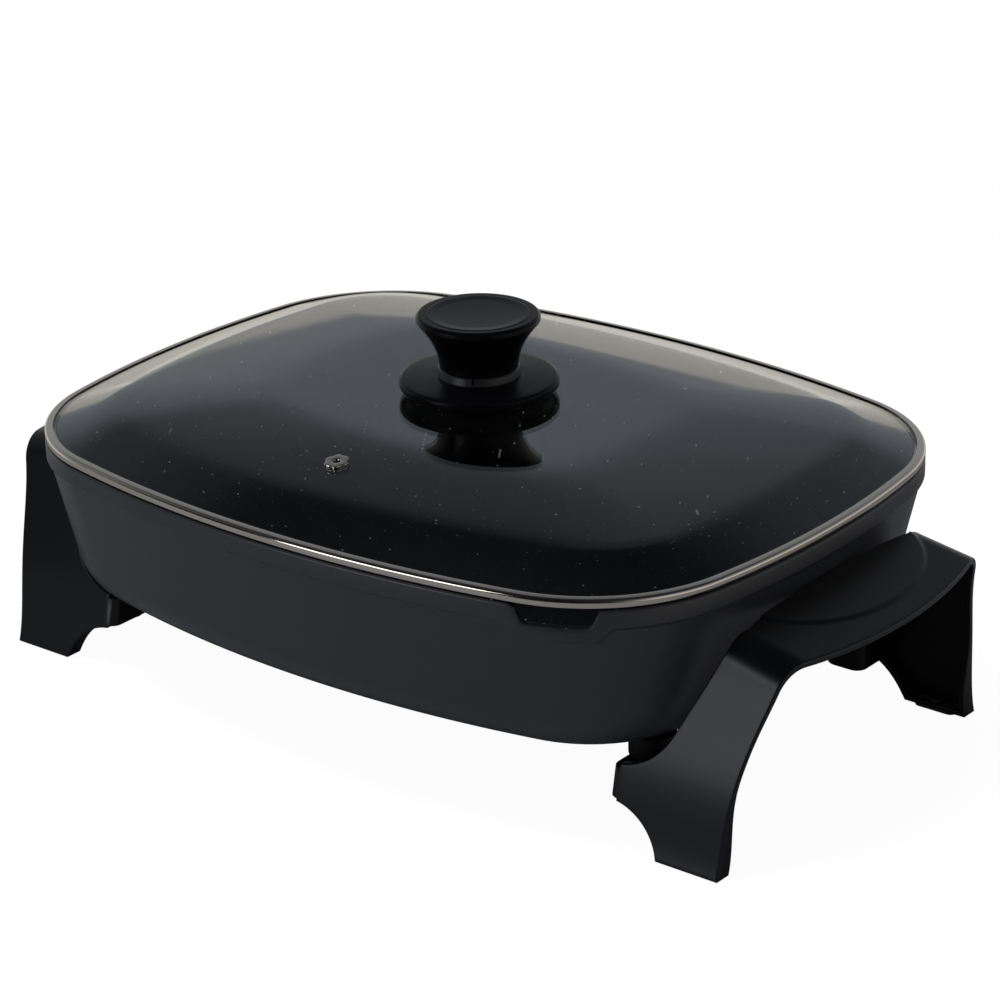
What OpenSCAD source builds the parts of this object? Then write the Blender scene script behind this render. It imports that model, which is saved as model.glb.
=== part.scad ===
// Electric skillet: a cast pan with a pouring lip, carried by two moulded leg-and-handle units,
// heated by an element under its floor, and covered by a lift-off domed glass lid.
// Millimetres. Origin on the table under the middle of the pan; -X to the control socket, +Z up.

/* [Outline of the pan and lid] */
// Length of the rim over its bowed ends
rim_l = 420; // [390:1:460]
// Width of the rim over its bowed sides
rim_w = 330; // [310:1:350]
// Radius that the long sides bow to
side_bow_r = 633; // [580:1:700]
// Radius that the ends bow to
end_bow_r = 497; // [460:1:540]
// Radius of the rim's corners
corner_r = 86; // [78:1:94]

/* [Pan] */
// Height of the pan's rim above the table
rim_z = 131.5; // [128:0.5:136]
// Height of the pan's underside above the table
base_z = 48; // [46:0.5:52]
// Height of the plain band round the rim
band_h = 9; // [7:0.5:11]
// How far the band stands proud of the wall
band_step = 1.8; // [1:0.1:2.5]
// Lean of the wall, in degrees
wall_lean = 12.9; // [10:0.1:14]
// Radius between wall and floor, outside
base_r = 28; // [24:1:30]
// Thickness of wall and floor
wall_t = 4; // [3.5:0.1:4.5]

/* [Pouring lip] */
// Place of the lip on the corner, in degrees from the end
lip_turn = 63.7; // [58:0.1:68]
// Width of the lip at the rim
lip_w = 39; // [34:1:42]
// Width of the lip's floor
lip_floor_w = 23; // [18:1:28]
// Depth of the lip
lip_d = 9; // [6:0.5:11]
// How far the band under the lip dips
band_dip = 6.8; // [5:0.1:9]

/* [Heater and control socket] */
// Diameter of the element's sheath
sheath_d = 7; // [6.4:0.1:7.4]
// Half-length of the element's loop
loop_x = 133; // [125:1:140]
// Half-width of the element's loop
loop_y = 80; // [70:1:90]
// Bend radius of the element
loop_bend_r = 22; // [18:1:26]
// Depth of the rail that holds the element
rail_h = 5; // [4:0.1:5.6]
// Spacing of the two contact pins
pin_gap = 25.4; // [24.6:0.1:26]
// Diameter of the contact pins
pin_d = 4.8; // [4:0.1:5.2]
// Bore of the sensor sleeve
sleeve_bore_d = 7.2; // [6.4:0.1:7.6]
// Outer diameter of the sensor sleeve
sleeve_d = 9; // [8.6:0.1:9.6]
// Length of the sensor sleeve
sleeve_l = 40; // [34:1:42]
// Length of the guard round the pins
guard_l = 22; // [19:0.5:24]
// Outer width of the guard
guard_w = 40; // [39:0.5:44]
// Outer height of the guard
guard_h = 32; // [31:0.5:34]

/* [Leg and handle units] */
// Reach of the deck beyond the pan's rim
deck_reach = 42.5; // [38:0.5:50]
// Radius of the deck's outer edge in plan
deck_arc_r = 285; // [240:5:330]
// Height of the deck's outer edge
deck_z = 101; // [98:0.5:103]
// Slope of the deck, in degrees
deck_slope = 11; // [9:0.5:13]
// Thickness of the moulding
shell_t = 2.8; // [2.4:0.1:3.2]
// Distance between the outer faces of the two legs at the deck
fold_span = 163.5; // [158:0.5:168]
// Radius of the fold between deck and leg
fold_r = 5; // [4:0.5:8]
// Splay of the legs, in degrees
leg_splay = 16.6; // [14:0.1:18]
// Length of each foot along the pan
foot_l = 34; // [30:1:38]
// Depth of the flanges along each leg's edges, at the foot
flange_w = 10.5; // [8:0.5:12]
// Depth of those flanges at the deck
flange_top_w = 3.4; // [2.8:0.1:5]
// Height of the soft pad under each foot
pad_h = 2.5; // [2:0.1:3]
// Height of the shelf that the pan's bosses stand on
shelf_z = 39; // [37:0.5:40]
// Diameter of the screws that hold the legs
leg_screw_d = 4; // [3.6:0.1:4.4]
// Distance of the leg screws from the leg's tip, along the pan
leg_screw_tip = 9.6; // [9:0.1:11]
// Gap between the heat washers and the leg's flange
washer_gap = 0.5; // [0.4:0.1:1.5]

/* [Lid] */
// Height of the steel rim
lid_rim_h = 5.7; // [5:0.1:6.5]
// Thickness of the glass
glass_t = 4; // [3.6:0.1:4.4]
// Width of the sloping shoulder next to the rim
shoulder_w = 35; // [28:1:40]
// Rise of the shoulder
shoulder_rise = 11; // [8:0.5:12]
// Rise of the crown inside the shoulder
crown_rise = 13.5; // [10:0.5:15]
// Distance of the vent from the lid's middle, towards the user
vent_y = 105; // [95:1:110]
// Sideways place of the vent
vent_x = -4; // [-12:1:12]
// Bore of the vent
vent_bore_d = 3.6; // [3:0.1:4.2]

/* [Knob] */
// Diameter of the wide disc on the glass
flange_d = 80; // [74:1:84]
// Diameter of the grip's top
grip_d = 62; // [56:1:66]
// Diameter of the grip's waist
waist_d = 39.5; // [37:0.5:44]
// Height of knob, disc and collar together
knob_h = 35.5; // [34:0.5:40]
// Height of the collar between disc and grip
collar_h = 4; // [3:0.5:6]
// Diameter of the knob's screw
knob_screw_d = 5; // [4.6:0.1:5.4]

/* [Hidden] */

$fn = 64;
eps = 0.5;          // overlap between joined shapes of one piece
fit = 0.05;         // radial clearance of threads and pressed pieces
slack = 0.15;       // clearance of pieces that drop into place
seat_gap = 0.3;     // gap between the lid and the pan it rests on
bore_fn = 48;

// ---- outline: a point is found by the direction that the edge faces there ----
half_l = rim_l / 2;
half_w = rim_w / 2;
side_c = half_w - side_bow_r;
end_c = half_l - end_bow_r;
centres_d = norm([end_c, side_c]);
side_to_corner = side_bow_r - corner_r;
end_to_corner = end_bow_r - corner_r;
corner_along = (side_to_corner ^ 2 - end_to_corner ^ 2 + centres_d ^ 2) / (2 * centres_d);
corner_across = sqrt(side_to_corner ^ 2 - corner_along ^ 2);
corner_x = (corner_along * end_c - corner_across * side_c) / centres_d;
corner_y = side_c + (-corner_along * side_c - corner_across * end_c) / centres_d;
end_sweep = atan2(corner_y, corner_x - end_c);
side_sweep = atan2(corner_y - side_c, corner_x);

// Point of the outline drawn in by `inset`, where the edge faces the direction a
function edge_point(a, inset) =
    let (turn = atan2(abs(sin(a)), abs(cos(a))),
         on_end = turn < end_sweep, on_side = turn > side_sweep,
         r = (on_end ? end_bow_r : on_side ? side_bow_r : corner_r) - inset,
         cx = on_end ? end_c : on_side ? 0 : corner_x,
         cy = on_end ? 0 : on_side ? side_c : corner_y)
    [sign(cos(a)) * cx + r * cos(a), sign(sin(a)) * cy + r * sin(a)];

function steps(from, to, n) = [for (i = [0 : n - 1]) from + (to - from) * i / n];
function quarter(n_end, n_corner, n_side) = concat(
    steps(0, end_sweep, n_end), steps(end_sweep, side_sweep, n_corner),
    steps(side_sweep, 90, n_side), [90]);
function flipped(list) = [for (i = [len(list) - 1 : -1 : 1]) -list[i]];
function all_but_last(list) = [for (i = [0 : len(list) - 2]) list[i]];
// Directions once round; the last quarter, which holds the pouring lip, may be finer
function directions(plain, fine) = concat(
    all_but_last(plain), [for (a = flipped(plain)) 180 + a],
    [for (a = all_but_last(plain)) 180 + a], [for (a = flipped(fine)) 360 + a]);

// Skin over a grid of points: columns run round the outline, rows along the section.
// Open sections are closed by flat faces at their first and last rows.
module skin(grid, open_section) {
    n = len(grid);
    m = len(grid[0]);
    points = [for (column = grid) for (p = column) p];
    rows = open_section ? m - 1 : m;
    quads = [for (i = [0 : n - 1]) for (j = [0 : rows - 1])
        let (i2 = (i + 1) % n, j2 = (j + 1) % m) [i * m + j, i * m + j2, i2 * m + j2, i2 * m + j]];
    triangles = [for (q = quads) for (t = [[q[0], q[1], q[2]], [q[0], q[2], q[3]]]) t];
    caps = open_section ? [[for (i = [0 : n - 1]) i * m],
                           [for (i = [n - 1 : -1 : 0]) i * m + m - 1]] : [];
    polyhedron(points, concat(triangles, caps), convexity = 6);
}

// ---- pan section ----
band_z = rim_z - band_h;
ridge_fall = 1.6;                       // height of the step from band to wall
wall_top_z = band_z - ridge_fall;
base_c_z = base_z + base_r;
wall_end_z = base_c_z - base_r * sin(wall_lean);
base_inset = wall_inset(wall_end_z) + base_r * cos(wall_lean);
edge_round = 1.2;                       // rounding of the rim's two edges
function wall_inset(z) = band_step + (wall_top_z - z) * tan(wall_lean);
function inner_inset(z) = wall_inset(z) + wall_t / cos(wall_lean);
// Point of the rounding between wall and floor, `depth` inside the outer face
function base_point(a, depth) = [base_inset - (base_r - depth) * cos(a),
                                 base_c_z - (base_r - depth) * sin(a)];
lip_a = 360 - lip_turn;
lip_spread = 8;                         // how much wider the band's dip is than the lip
function smooth(t) = let (u = min(max(t, 0), 1)) u * u * (3 - 2 * u);
// Share of the lip's depth at direction a: 1 over its floor, easing to 0 at its width
function lip_share(a, spread) =
    let (s = norm(edge_point(a, 0) - edge_point(lip_a, 0)))
    smooth((lip_w / 2 + spread - s) / (lip_w / 2 - lip_floor_w / 2));
lip_reach = (lip_w / 2 + lip_spread + 2) / corner_r * 180 / PI;
lip_side_sweep = 1.3;
// Directions of the lip's quarter, close together where the lip is
lip_quarter = concat(
    steps(0, end_sweep, 4), steps(end_sweep, lip_turn - lip_reach, 5),
    steps(lip_turn - lip_reach, side_sweep, 22), steps(side_sweep, side_sweep + lip_side_sweep, 5),
    steps(side_sweep + lip_side_sweep, 90, 5), [90]);
base_rows = 6;
base_turns = [for (k = [0 : base_rows]) 90 - (90 - wall_lean) * k / base_rows];

function pan_section(a) =
    let (top = rim_z - lip_d * lip_share(a, 0),
         ridge = band_z - band_dip * lip_share(a, lip_spread),
         foot = ridge - ridge_fall,
         inner_top = top - edge_round)
    concat(
        [for (t = base_turns) base_point(t, 0)],
        [[wall_inset(foot), foot], [0.35, ridge + 0.2], [0, ridge + edge_round],
         [0, top - edge_round], [0.35, top - 0.35], [edge_round, top],
         [inner_inset(top) - edge_round, top], [inner_inset(inner_top), inner_top]],
        [for (k = [base_rows : -1 : 0]) base_point(base_turns[k], wall_t)]);

module pan_shell() {
    turns = directions(quarter(4, 9, 5), lip_quarter);
    skin([for (a = turns) [for (s = pan_section(a)) [each edge_point(a, s[0]), s[1]]]], true);
}

// ---- element route: each stretch is swept from a 2-D section by its children.
// Heater and socket are drawn for the +X end and turned to the -X end by flip_x. ----
module flip_x() mirror([1, 0, 0]) children();
tube_z = base_z - rail_h + sheath_d / 2 - eps;
leg_y = pin_gap / 2;
run_in_x = loop_x + loop_bend_r;
block_face_x = half_l - 8;
insulator_in = 6;
sheath_end_x = block_face_x - insulator_in;

module along_x(x1, x2, y, z) translate([x1, y, z]) rotate([90, 0, 90]) linear_extrude(x2 - x1) children();
module along_y(y1, y2, x, z) translate([x, y2, z]) rotate([90, 0, 0]) linear_extrude(y2 - y1) children();
module bend(x, y, r, turn) translate([x, y, tube_z]) rotate([0, 0, turn])
    rotate_extrude(angle = 90) translate([r, 0]) children();

// Half of the loop, on the -Y side
module half_loop() {
    r = loop_bend_r;
    along_x(run_in_x, sheath_end_x, -leg_y, tube_z) children();
    bend(run_in_x, -leg_y - r, r, 90) children();
    along_y(-loop_y + r, -leg_y - r, loop_x, tube_z) children();
    bend(loop_x - r, -loop_y + r, r, 270) children();
    along_x(-loop_x + r, loop_x - r, -loop_y, tube_z) children();
    bend(-loop_x + r, -loop_y + r, r, 180) children();
    along_y(-loop_y + r, 0, -loop_x, tube_z) children();
}
module whole_loop() {
    half_loop() children();
    mirror([0, 1, 0]) half_loop() children();
}

// ---- terminal block and leg bosses, cast with the pan ----
block_w = 38;
block_top_z = tube_z + 15.5;
block_low_z = tube_z - 14.5;
block_back_x = block_face_x - sleeve_l;
block_back_z = tube_z - sheath_d;
block_flat = 12;            // length of the block's flat underside
rail_w = sheath_d + 6;
boss_d = 12;
heat_washer_d = boss_d + 2;
washer_h = 1.5;
boss_low_z = shelf_z + washer_h;
boss_top_z = base_z + wall_t / 2 + 1;
screw_in_pan = 7;
guard_screw_d = 3;
guard_screw_rise = 10.3;    // height of the guard screws above and below the sleeve
guard_screw_in = 6;
insulator_d = 9;
sleeve_out = 7;

module terminal_block() {
    mid = wall_t / 2;
    end_turn = asin((base_c_z - block_top_z) / (base_r - mid));
    wall = [for (k = [0 : base_rows]) base_point(90 - (90 - end_turn) * k / base_rows, mid)];
    translate([0, block_w / 2, 0]) rotate([90, 0, 0]) linear_extrude(block_w)
        polygon(concat([[block_back_x, base_z + mid]], [for (p = wall) [half_l - p[0], p[1]]],
                       [[block_face_x, block_top_z], [block_face_x, block_low_z],
                        [block_face_x - block_flat, block_low_z], [block_back_x, block_back_z]]));
}
module pan() color("dimgray") difference() {
    union() {
        pan_shell();
        flip_x() {
            whole_loop() translate([-rail_w / 2, base_z - rail_h - tube_z])
                square([rail_w, rail_h + eps]);
            terminal_block();
        }
        for (sx = [-1, 1]) for (sy = [-1, 1])
            translate([sx * leg_screw_x, sy * leg_screw_y, boss_low_z])
                cylinder(d = boss_d, h = boss_top_z - boss_low_z);
    }
    flip_x() {
        whole_loop() circle(d = sheath_d + 2 * slack);
        translate([block_face_x, 0, tube_z]) {
            for (s = [-1, 1]) translate([0, s * leg_y, 0])
                socket_hole(insulator_d / 2 + fit, insulator_in);
            socket_hole(sleeve_d / 2 + fit, sleeve_l - sleeve_out + slack);
            for (s = [-1, 1]) translate([0, 0, s * guard_screw_rise])
                socket_hole(guard_screw_d / 2 + fit, guard_screw_in + slack);
        }
    }
    for (sx = [-1, 1]) for (sy = [-1, 1])
        translate([sx * leg_screw_x, sy * leg_screw_y, boss_low_z - eps])
            cylinder(r = leg_screw_d / 2 + fit, h = screw_in_pan + eps + slack, $fn = bore_fn);
}
module socket_hole(r, depth) translate([-depth, 0, 0]) rotate([0, 90, 0])
    cylinder(r = r, h = depth + eps, $fn = bore_fn);

module heating_element() color("silver") flip_x() whole_loop() circle(d = sheath_d);

insulator_out = 3.6;        // length of the insulators outside the block's face
insulator_l = insulator_in + insulator_out;
pin_out = 8.9;              // length of the pins outside their insulators
pin_root_d = pin_d - 0.8;   // thinner root inside the insulator
pin_bevel = 1.2;
module terminal_pins() color("lightsteelblue") flip_x() for (s = [-1, 1])
    translate([sheath_end_x, s * leg_y, tube_z]) rotate([0, 90, 0]) {
        cylinder(d = pin_root_d, h = insulator_l + eps);
        translate([0, 0, insulator_l]) cylinder(d = pin_d, h = pin_out - pin_bevel);
        translate([0, 0, insulator_l + pin_out - pin_bevel])
            cylinder(d1 = pin_d, d2 = pin_d - 2, h = pin_bevel);
    }
module pin_insulators() color("linen") flip_x() for (s = [-1, 1])
    translate([sheath_end_x, s * leg_y, tube_z]) rotate([0, 90, 0]) difference() {
        cylinder(d = insulator_d, h = insulator_l);
        translate([0, 0, -eps]) cylinder(r = pin_root_d / 2 + fit, h = insulator_l + 2 * eps);
    }
module probe_sleeve() color("silver") flip_x()
    translate([block_face_x + sleeve_out - sleeve_l, 0, tube_z]) rotate([0, 90, 0]) difference() {
        cylinder(d = sleeve_d, h = sleeve_l);
        translate([0, 0, -eps]) cylinder(d = sleeve_bore_d, h = sleeve_l + 2 * eps, $fn = bore_fn);
    }

// ---- guard: a rounded box, open where the control plugs in ----
guard_wall = 2.2;
guard_back = 2;
guard_r = 8;
guard_head_h = 2;
module guard_outline(inset) {
    w = guard_w - 2 * inset;
    h = guard_h - 2 * inset;
    r = guard_r - inset;
    square([w - 2 * r, h], center = true);
    square([w, h - 2 * r], center = true);
    for (sx = [-1, 1]) for (sy = [-1, 1])
        translate([sx * (w / 2 - r), sy * (h / 2 - r)]) circle(r = r);
}
module terminal_guard() color("black") flip_x() difference() {
    along_x(block_face_x, block_face_x + guard_l, 0, tube_z) guard_outline(0);
    along_x(block_face_x + guard_back, block_face_x + guard_l + eps, 0, tube_z)
        guard_outline(guard_wall);
    translate([block_face_x + guard_back, 0, tube_z]) {
        for (s = [-1, 1]) translate([0, s * leg_y, 0])
            socket_hole(insulator_d / 2 + slack, guard_back + eps);
        socket_hole(sleeve_d / 2 + slack, guard_back + eps);
        for (s = [-1, 1]) translate([0, 0, s * guard_screw_rise])
            socket_hole(guard_screw_d / 2 + slack, guard_back + eps);
    }
}
earth_t = 0.6;
earth_w = 7;
module guard_screws() color("silver") flip_x() for (s = [-1, 1])
    translate([block_face_x, 0, tube_z + s * guard_screw_rise]) rotate([0, 90, 0]) {
        seat = guard_back + (s < 0 ? earth_t : 0);
        translate([0, 0, -guard_screw_in]) cylinder(d = guard_screw_d, h = guard_screw_in + seat);
        translate([0, 0, seat]) difference() {
            cylinder(d = guard_screw_d + 2.4, h = guard_head_h);
            translate([-3, -0.4, guard_head_h - 0.8]) cube([6, 0.8, 2]);
        }
    }
// Strip that lies on the guard's floor and stands up behind the lower screw
module earth_spring() color("silver") flip_x() {
    low = tube_z - guard_h / 2 + guard_wall + 0.1;
    top = tube_z - sleeve_d / 2 - 2;
    back = block_face_x + guard_back;
    difference() {
        translate([0, earth_w / 2, 0]) rotate([90, 0, 0]) linear_extrude(earth_w) polygon([
            [back, low], [back + 3, low], [back + 6, low + 2], [back + 9, low + 0.5],
            [back + 9, low + 0.5 + earth_t], [back + 6, low + 2 + earth_t],
            [back + 3, low + earth_t], [back + earth_t, low + earth_t],
            [back + earth_t, top], [back, top]]);
        translate([back + earth_t, 0, tube_z - guard_screw_rise])
            socket_hole(guard_screw_d / 2 + slack, earth_t + eps);
    }
}

// ---- leg and handle unit, drawn for the +X end ----
deck_x = half_l + deck_reach;
fold_y = fold_span / 2;
foot_reach = 13;            // how far the feet reach beyond the rim
tip_in = 51.6;              // how far the legs' tips lie inside the rim
foot_out_x = half_l + foot_reach;
foot_in_x = foot_out_x - foot_l;
tip_x = half_l - tip_in;
outer_sweep_r = 340;        // long curve up the leg's outer edge
outer_turn_r = 10;          // short curve from there to the deck's edge
edge_z = deck_z - 3.2;      // underside of the deck's edge
arch_r = 31;                // arch between foot and tip
arch_z = -8;
hug_r = 36;                 // curve that clears the pan
hug_end = 25;               // direction, from upright, in which that curve ends
over = 24;                  // how far the profile reaches past the deck
tip_rise = 1.5;             // height of the leg's tip above its shelf
tip_flat = 1;               // from the tip to the top of the arch

function arc(c, r, from, to, n) = [for (i = [0 : n]) let (a = from + (to - from) * i / n)
    [c[0] + r * cos(a), c[1] + r * sin(a)]];

// Side view of a leg with its share of the deck, drawn in by d
function leg_profile(d) =
    let (sweep_c = [foot_out_x + outer_sweep_r, pad_h],
         turn = asin((edge_z - outer_turn_r - pad_h) / (outer_sweep_r - outer_turn_r)),
         turn_c = [sweep_c[0] - (outer_sweep_r - outer_turn_r) * cos(turn), edge_z - outer_turn_r],
         hug_c = [tip_x, shelf_z + tip_rise + hug_r],
         hug_r2 = hug_r + d,
         hug_out = [hug_c[0] + hug_r2 * cos(hug_end), hug_c[1] - hug_r2 * sin(hug_end)],
         climb = deck_z + over - hug_out[1],
         arch_c = [tip_x + tip_flat, arch_z],
         arch_r2 = arch_r + d)
    concat(
        arc(sweep_c, outer_sweep_r + d, 180 - asin(d / (outer_sweep_r + d)), 180 - turn, 8),
        arc(turn_c, outer_turn_r + d, 180 - turn, 90, 5),
        [[deck_x + over, edge_z + d], [deck_x + over, deck_z + over],
         [hug_out[0] + climb * tan(hug_end), deck_z + over]],
        arc(hug_c, hug_r2, -hug_end, -90 + asin(d / hug_r2), 8),
        arc(arch_c, arch_r2, 90 + asin((tip_flat - d) / arch_r2),
            asin((pad_h + d - arch_z) / arch_r2), 7));

// Half of the moulding's outer form, drawn in by d: a prism that runs along the fold between the
// sloping deck and one splayed leg, so both faces and the round between them are exact
far = 150;
fold_turn = atan(tan(leg_splay) * sin(deck_slope));
fold_lean = asin(sin(leg_splay) * cos(deck_slope));
fold_c = [-fold_r * (1 - sin(fold_lean)) / cos(fold_lean), -fold_r];
function fold_section(d) = concat(
    [[-2 * far, -far], [-2 * far, -d]], arc(fold_c, fold_r - d, 90, fold_lean, 5),
    [fold_c + (fold_r - d) * [cos(fold_lean), sin(fold_lean)]
     + far * [sin(fold_lean), -cos(fold_lean)]]);
module deck_frame() translate([deck_x, 0, deck_z]) rotate([0, deck_slope, 0]) children();
module half_form(d) translate([deck_x, fold_y, deck_z]) rotate([0, deck_slope, 0])
    rotate([0, 0, fold_turn]) translate([-far, 0, 0]) rotate([90, 0, 90])
        linear_extrude(2 * far) polygon(fold_section(d));
module full_form(d) intersection() {
    half_form(d);
    mirror([0, 1, 0]) half_form(d);
}
// Outer face of a leg at height z, and the inner edge of its flanges there
function leg_y_at(z) = fold_y + (deck_z - z) * tan(leg_splay);
flange_slant = tan(leg_splay) - (flange_w - flange_top_w) / (deck_z - pad_h);
function flange_y_at(z) = fold_y - flange_top_w + (deck_z - z) * flange_slant;
// Room between the flanges of the two legs
module flange_room() {
    high = deck_z + over;
    low = -over;
    translate([tip_x - over, 0, 0]) rotate([90, 0, 90]) linear_extrude(deck_x - tip_x + 2 * over)
        polygon([[-flange_y_at(low), low], [flange_y_at(low), low],
                 [flange_y_at(high), high], [-flange_y_at(high), high]]);
}
module side_prism(d) translate([0, far, 0]) rotate([90, 0, 0]) linear_extrude(2 * far)
    polygon(leg_profile(d));
leg_screw_x = tip_x + leg_screw_tip;
leg_screw_y = flange_y_at(boss_low_z) - heat_washer_d / 2 - washer_gap;

deck_gap = 0.6;             // gap between the deck and the pan's wall
deck_inset = wall_inset(deck_z + deck_reach * tan(deck_slope)) - deck_gap;
deck_hug_in = 8;            // from the fold to where the deck stops following the pan
deck_hug_y = fold_y - deck_hug_in;
deck_corner_gap = 3.5;      // how much further from the pan the deck's corners end
deck_corner_ease = 3;
function deck_inner_x(y) = end_c + sqrt((end_bow_r - deck_inset) ^ 2 - y ^ 2);
module deck_plan() {
    wide = fold_y + over / 2;
    corner = deck_inner_x(deck_hug_y) + deck_corner_gap;
    translate([0, 0, edge_z - 0.6]) linear_extrude(over) polygon(concat(
        [for (k = [-8 : 8]) let (y = deck_hug_y * k / 8) [deck_inner_x(y), y]],
        [[corner, deck_hug_y + deck_corner_ease], [corner, wide], [deck_x + over, wide],
         [deck_x + over, -wide], [corner, -wide], [corner, -deck_hug_y - deck_corner_ease]]));
}
plateau_w = 134;
plateau_step = 1;
plateau_margin = 16;        // from the plateau to the deck's outer edge
plateau_back = 6;
module plateau() intersection() {
    deck_frame() translate([-deck_reach - plateau_back, 0, -1.5]) linear_extrude(1.5 + plateau_step)
        polygon([for (a = [-90 : 10 : 90])
            [(deck_reach + plateau_back - plateau_margin) * cos(a), plateau_w / 2 * sin(a)]]);
    deck_plan();
}

shelf_l = 22;
shelf_depth = 27;
shelf_r = 6;
shelf_plate = 3.4;
post_d = 12;
leg_head_d = 7.6;
leg_head_h = 2.6;
shelf_in = 10.5;            // from the screw to the shelf's inner wall
shelf_in_y = leg_screw_y - shelf_in;
shelf_low_z = arch_z + arch_r + tip_flat;
post_drop = 2.5;            // how far the screw post reaches below the shelf's skirt
module shelf_plan(inset) {
    low = shelf_r + inset;
    translate([tip_x, shelf_in_y]) {
        translate([low, low]) circle(r = shelf_r);
        translate([low, inset]) square([shelf_l - low, shelf_depth - inset]);
        translate([inset, low]) square([shelf_l - inset, shelf_depth - low]);
    }
}
module shelf() {
    difference() {
        translate([0, 0, shelf_low_z]) linear_extrude(shelf_z - shelf_low_z) shelf_plan(0);
        translate([0, 0, shelf_low_z - eps]) linear_extrude(shelf_z - shelf_low_z - shelf_plate + eps)
            shelf_plan(shell_t);
    }
    translate([leg_screw_x, leg_screw_y, shelf_low_z - post_drop])
        cylinder(d = post_d, h = shelf_z - shelf_low_z + post_drop - 1);
}
foot_mid_x = (foot_in_x + foot_out_x) / 2;
// Middle of the foot's flange across the leg
foot_mid_y = leg_y_at(pad_h) - flange_w / 2;
pad_stud_d = 5;

module leg_unit() difference() {
    union() {
        intersection() {
            difference() {
                full_form(0);
                full_form(shell_t);
            }
            union() {
                side_prism(0);
                deck_plan();
            }
            deck_round();
        }
        intersection() {
            difference() {
                full_form(shell_t / 2);
                flange_room();
                side_prism(shell_t);
            }
            side_prism(0);
            deck_round();
        }
        plateau();
        intersection() {
            union() {
                shelf();
                mirror([0, 1, 0]) shelf();
            }
            full_form(shell_t / 2);
        }
    }
    for (s = [-1, 1]) {
        translate([leg_screw_x, s * leg_screw_y, shelf_low_z - post_drop - eps]) {
            cylinder(d = leg_screw_d + 0.6, h = shelf_z - shelf_low_z + post_drop + 2 * eps);
            cylinder(d = leg_head_d + 1, h = shelf_z - shelf_low_z + post_drop - shelf_plate + eps);
        }
        translate([foot_mid_x, s * foot_mid_y, pad_h - eps])
            cylinder(r = pad_stud_d / 2 + slack, h = shell_t + 2 * eps);
    }
}
module deck_round() translate([deck_x - deck_arc_r, 0, -over])
    cylinder(r = deck_arc_r, h = deck_z + 2 * over, $fn = 180);
module leg_unit_right() color("#141416") leg_unit();
module leg_unit_left() color("#141416") flip_x() leg_unit();

module leg_screws() for (s = [-1, 1]) translate([leg_screw_x, s * leg_screw_y, 0]) {
    head_z = shelf_z - shelf_plate;
    translate([0, 0, head_z]) cylinder(d = leg_screw_d, h = boss_low_z + screw_in_pan - head_z);
    translate([0, 0, head_z - leg_head_h]) difference() {
        cylinder(d = leg_head_d, h = leg_head_h);
        for (a = [0, 90]) rotate([0, 0, a]) translate([-2.2, -0.5, -eps]) cube([4.4, 1, 1.4 + eps]);
    }
}
module leg_screws_right() color("silver") leg_screws();
module leg_screws_left() color("silver") flip_x() leg_screws();
module heat_washers() for (s = [-1, 1]) translate([leg_screw_x, s * leg_screw_y, shelf_z]) difference() {
    cylinder(d = heat_washer_d, h = washer_h);
    translate([0, 0, -eps]) cylinder(d = leg_screw_d + 0.4, h = washer_h + 2 * eps);
}
module heat_washers_right() color("tan") heat_washers();
module heat_washers_left() color("tan") flip_x() heat_washers();
pad_l = 24;
pad_w = 8;
module foot_pads() for (s = [-1, 1]) translate([foot_mid_x, s * foot_mid_y, 0]) {
    linear_extrude(pad_h) {
        square([pad_l - pad_w, pad_w], center = true);
        for (e = [-1, 1]) translate([e * (pad_l - pad_w) / 2, 0]) circle(d = pad_w);
    }
    translate([0, 0, pad_h - eps]) cylinder(d = pad_stud_d, h = shell_t + eps);
}
module foot_pads_right() color("#222222") foot_pads();
module foot_pads_left() color("#222222") flip_x() foot_pads();

// ---- lid ----
lid_low_z = rim_z + seat_gap;
lid_top_z = lid_low_z + lid_rim_h;
band_t = 0.8;                           // thickness of the rim's steel
glass_in = 1.1;                         // inset of the glass's edge
glass_edge_z = lid_low_z + band_t + 0.1;
skirt_drop = 4.5;
skirt_inset = 5.4;
lid_turns = directions(quarter(3, 8, 4), quarter(3, 8, 4));
crown_scales = [0.12, 0.35, 0.58, 0.8, 1];
shoulder_z = glass_edge_z + shoulder_rise;
crown_half_w = half_w - shoulder_w;
function crown_height(s) = shoulder_z + crown_rise * (1 - s ^ 2);
crown_z = crown_height(crown_scales[0]);    // underside of the flat seat in the middle
glass_top_z = crown_z + glass_t;
// Underside of the shoulder: straight, easing into the crown
shoulder_insets = [shoulder_w * 0.67, shoulder_w * 0.36, 5, glass_in];
function shoulder_height(inset) = shoulder_z - shoulder_rise *
    min((shoulder_w - inset) / (shoulder_w - 5), 1);

function glass_column(a) =
    let (crown = [for (s = crown_scales) [each s * edge_point(a, shoulder_w), crown_height(s)]],
         shoulder = [for (q = shoulder_insets) [each edge_point(a, q), shoulder_height(q)]],
         under = concat(crown, shoulder))
    concat(under, [for (i = [len(under) - 1 : -1 : 0]) under[i] + [0, 0, glass_t]]);
vent_s = vent_y / crown_half_w;
vent_tilt = atan(2 * crown_rise * vent_s / crown_half_w);
knob_hole_d = knob_screw_d + 2;
vent_hole_d = 8;
module at_vent() translate([vent_x, -vent_y, crown_height(vent_s) + glass_t])
    rotate([vent_tilt, 0, 0]) children();
module lid_glass() color("darkslategray", 0.5) difference() {
    skin([for (a = lid_turns) glass_column(a)], true);
    translate([0, 0, crown_z - 2]) cylinder(d = knob_hole_d, h = glass_t + 4);
    at_vent() translate([0, 0, -glass_t - 3]) cylinder(d = vent_hole_d, h = glass_t + 6);
}

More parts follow.
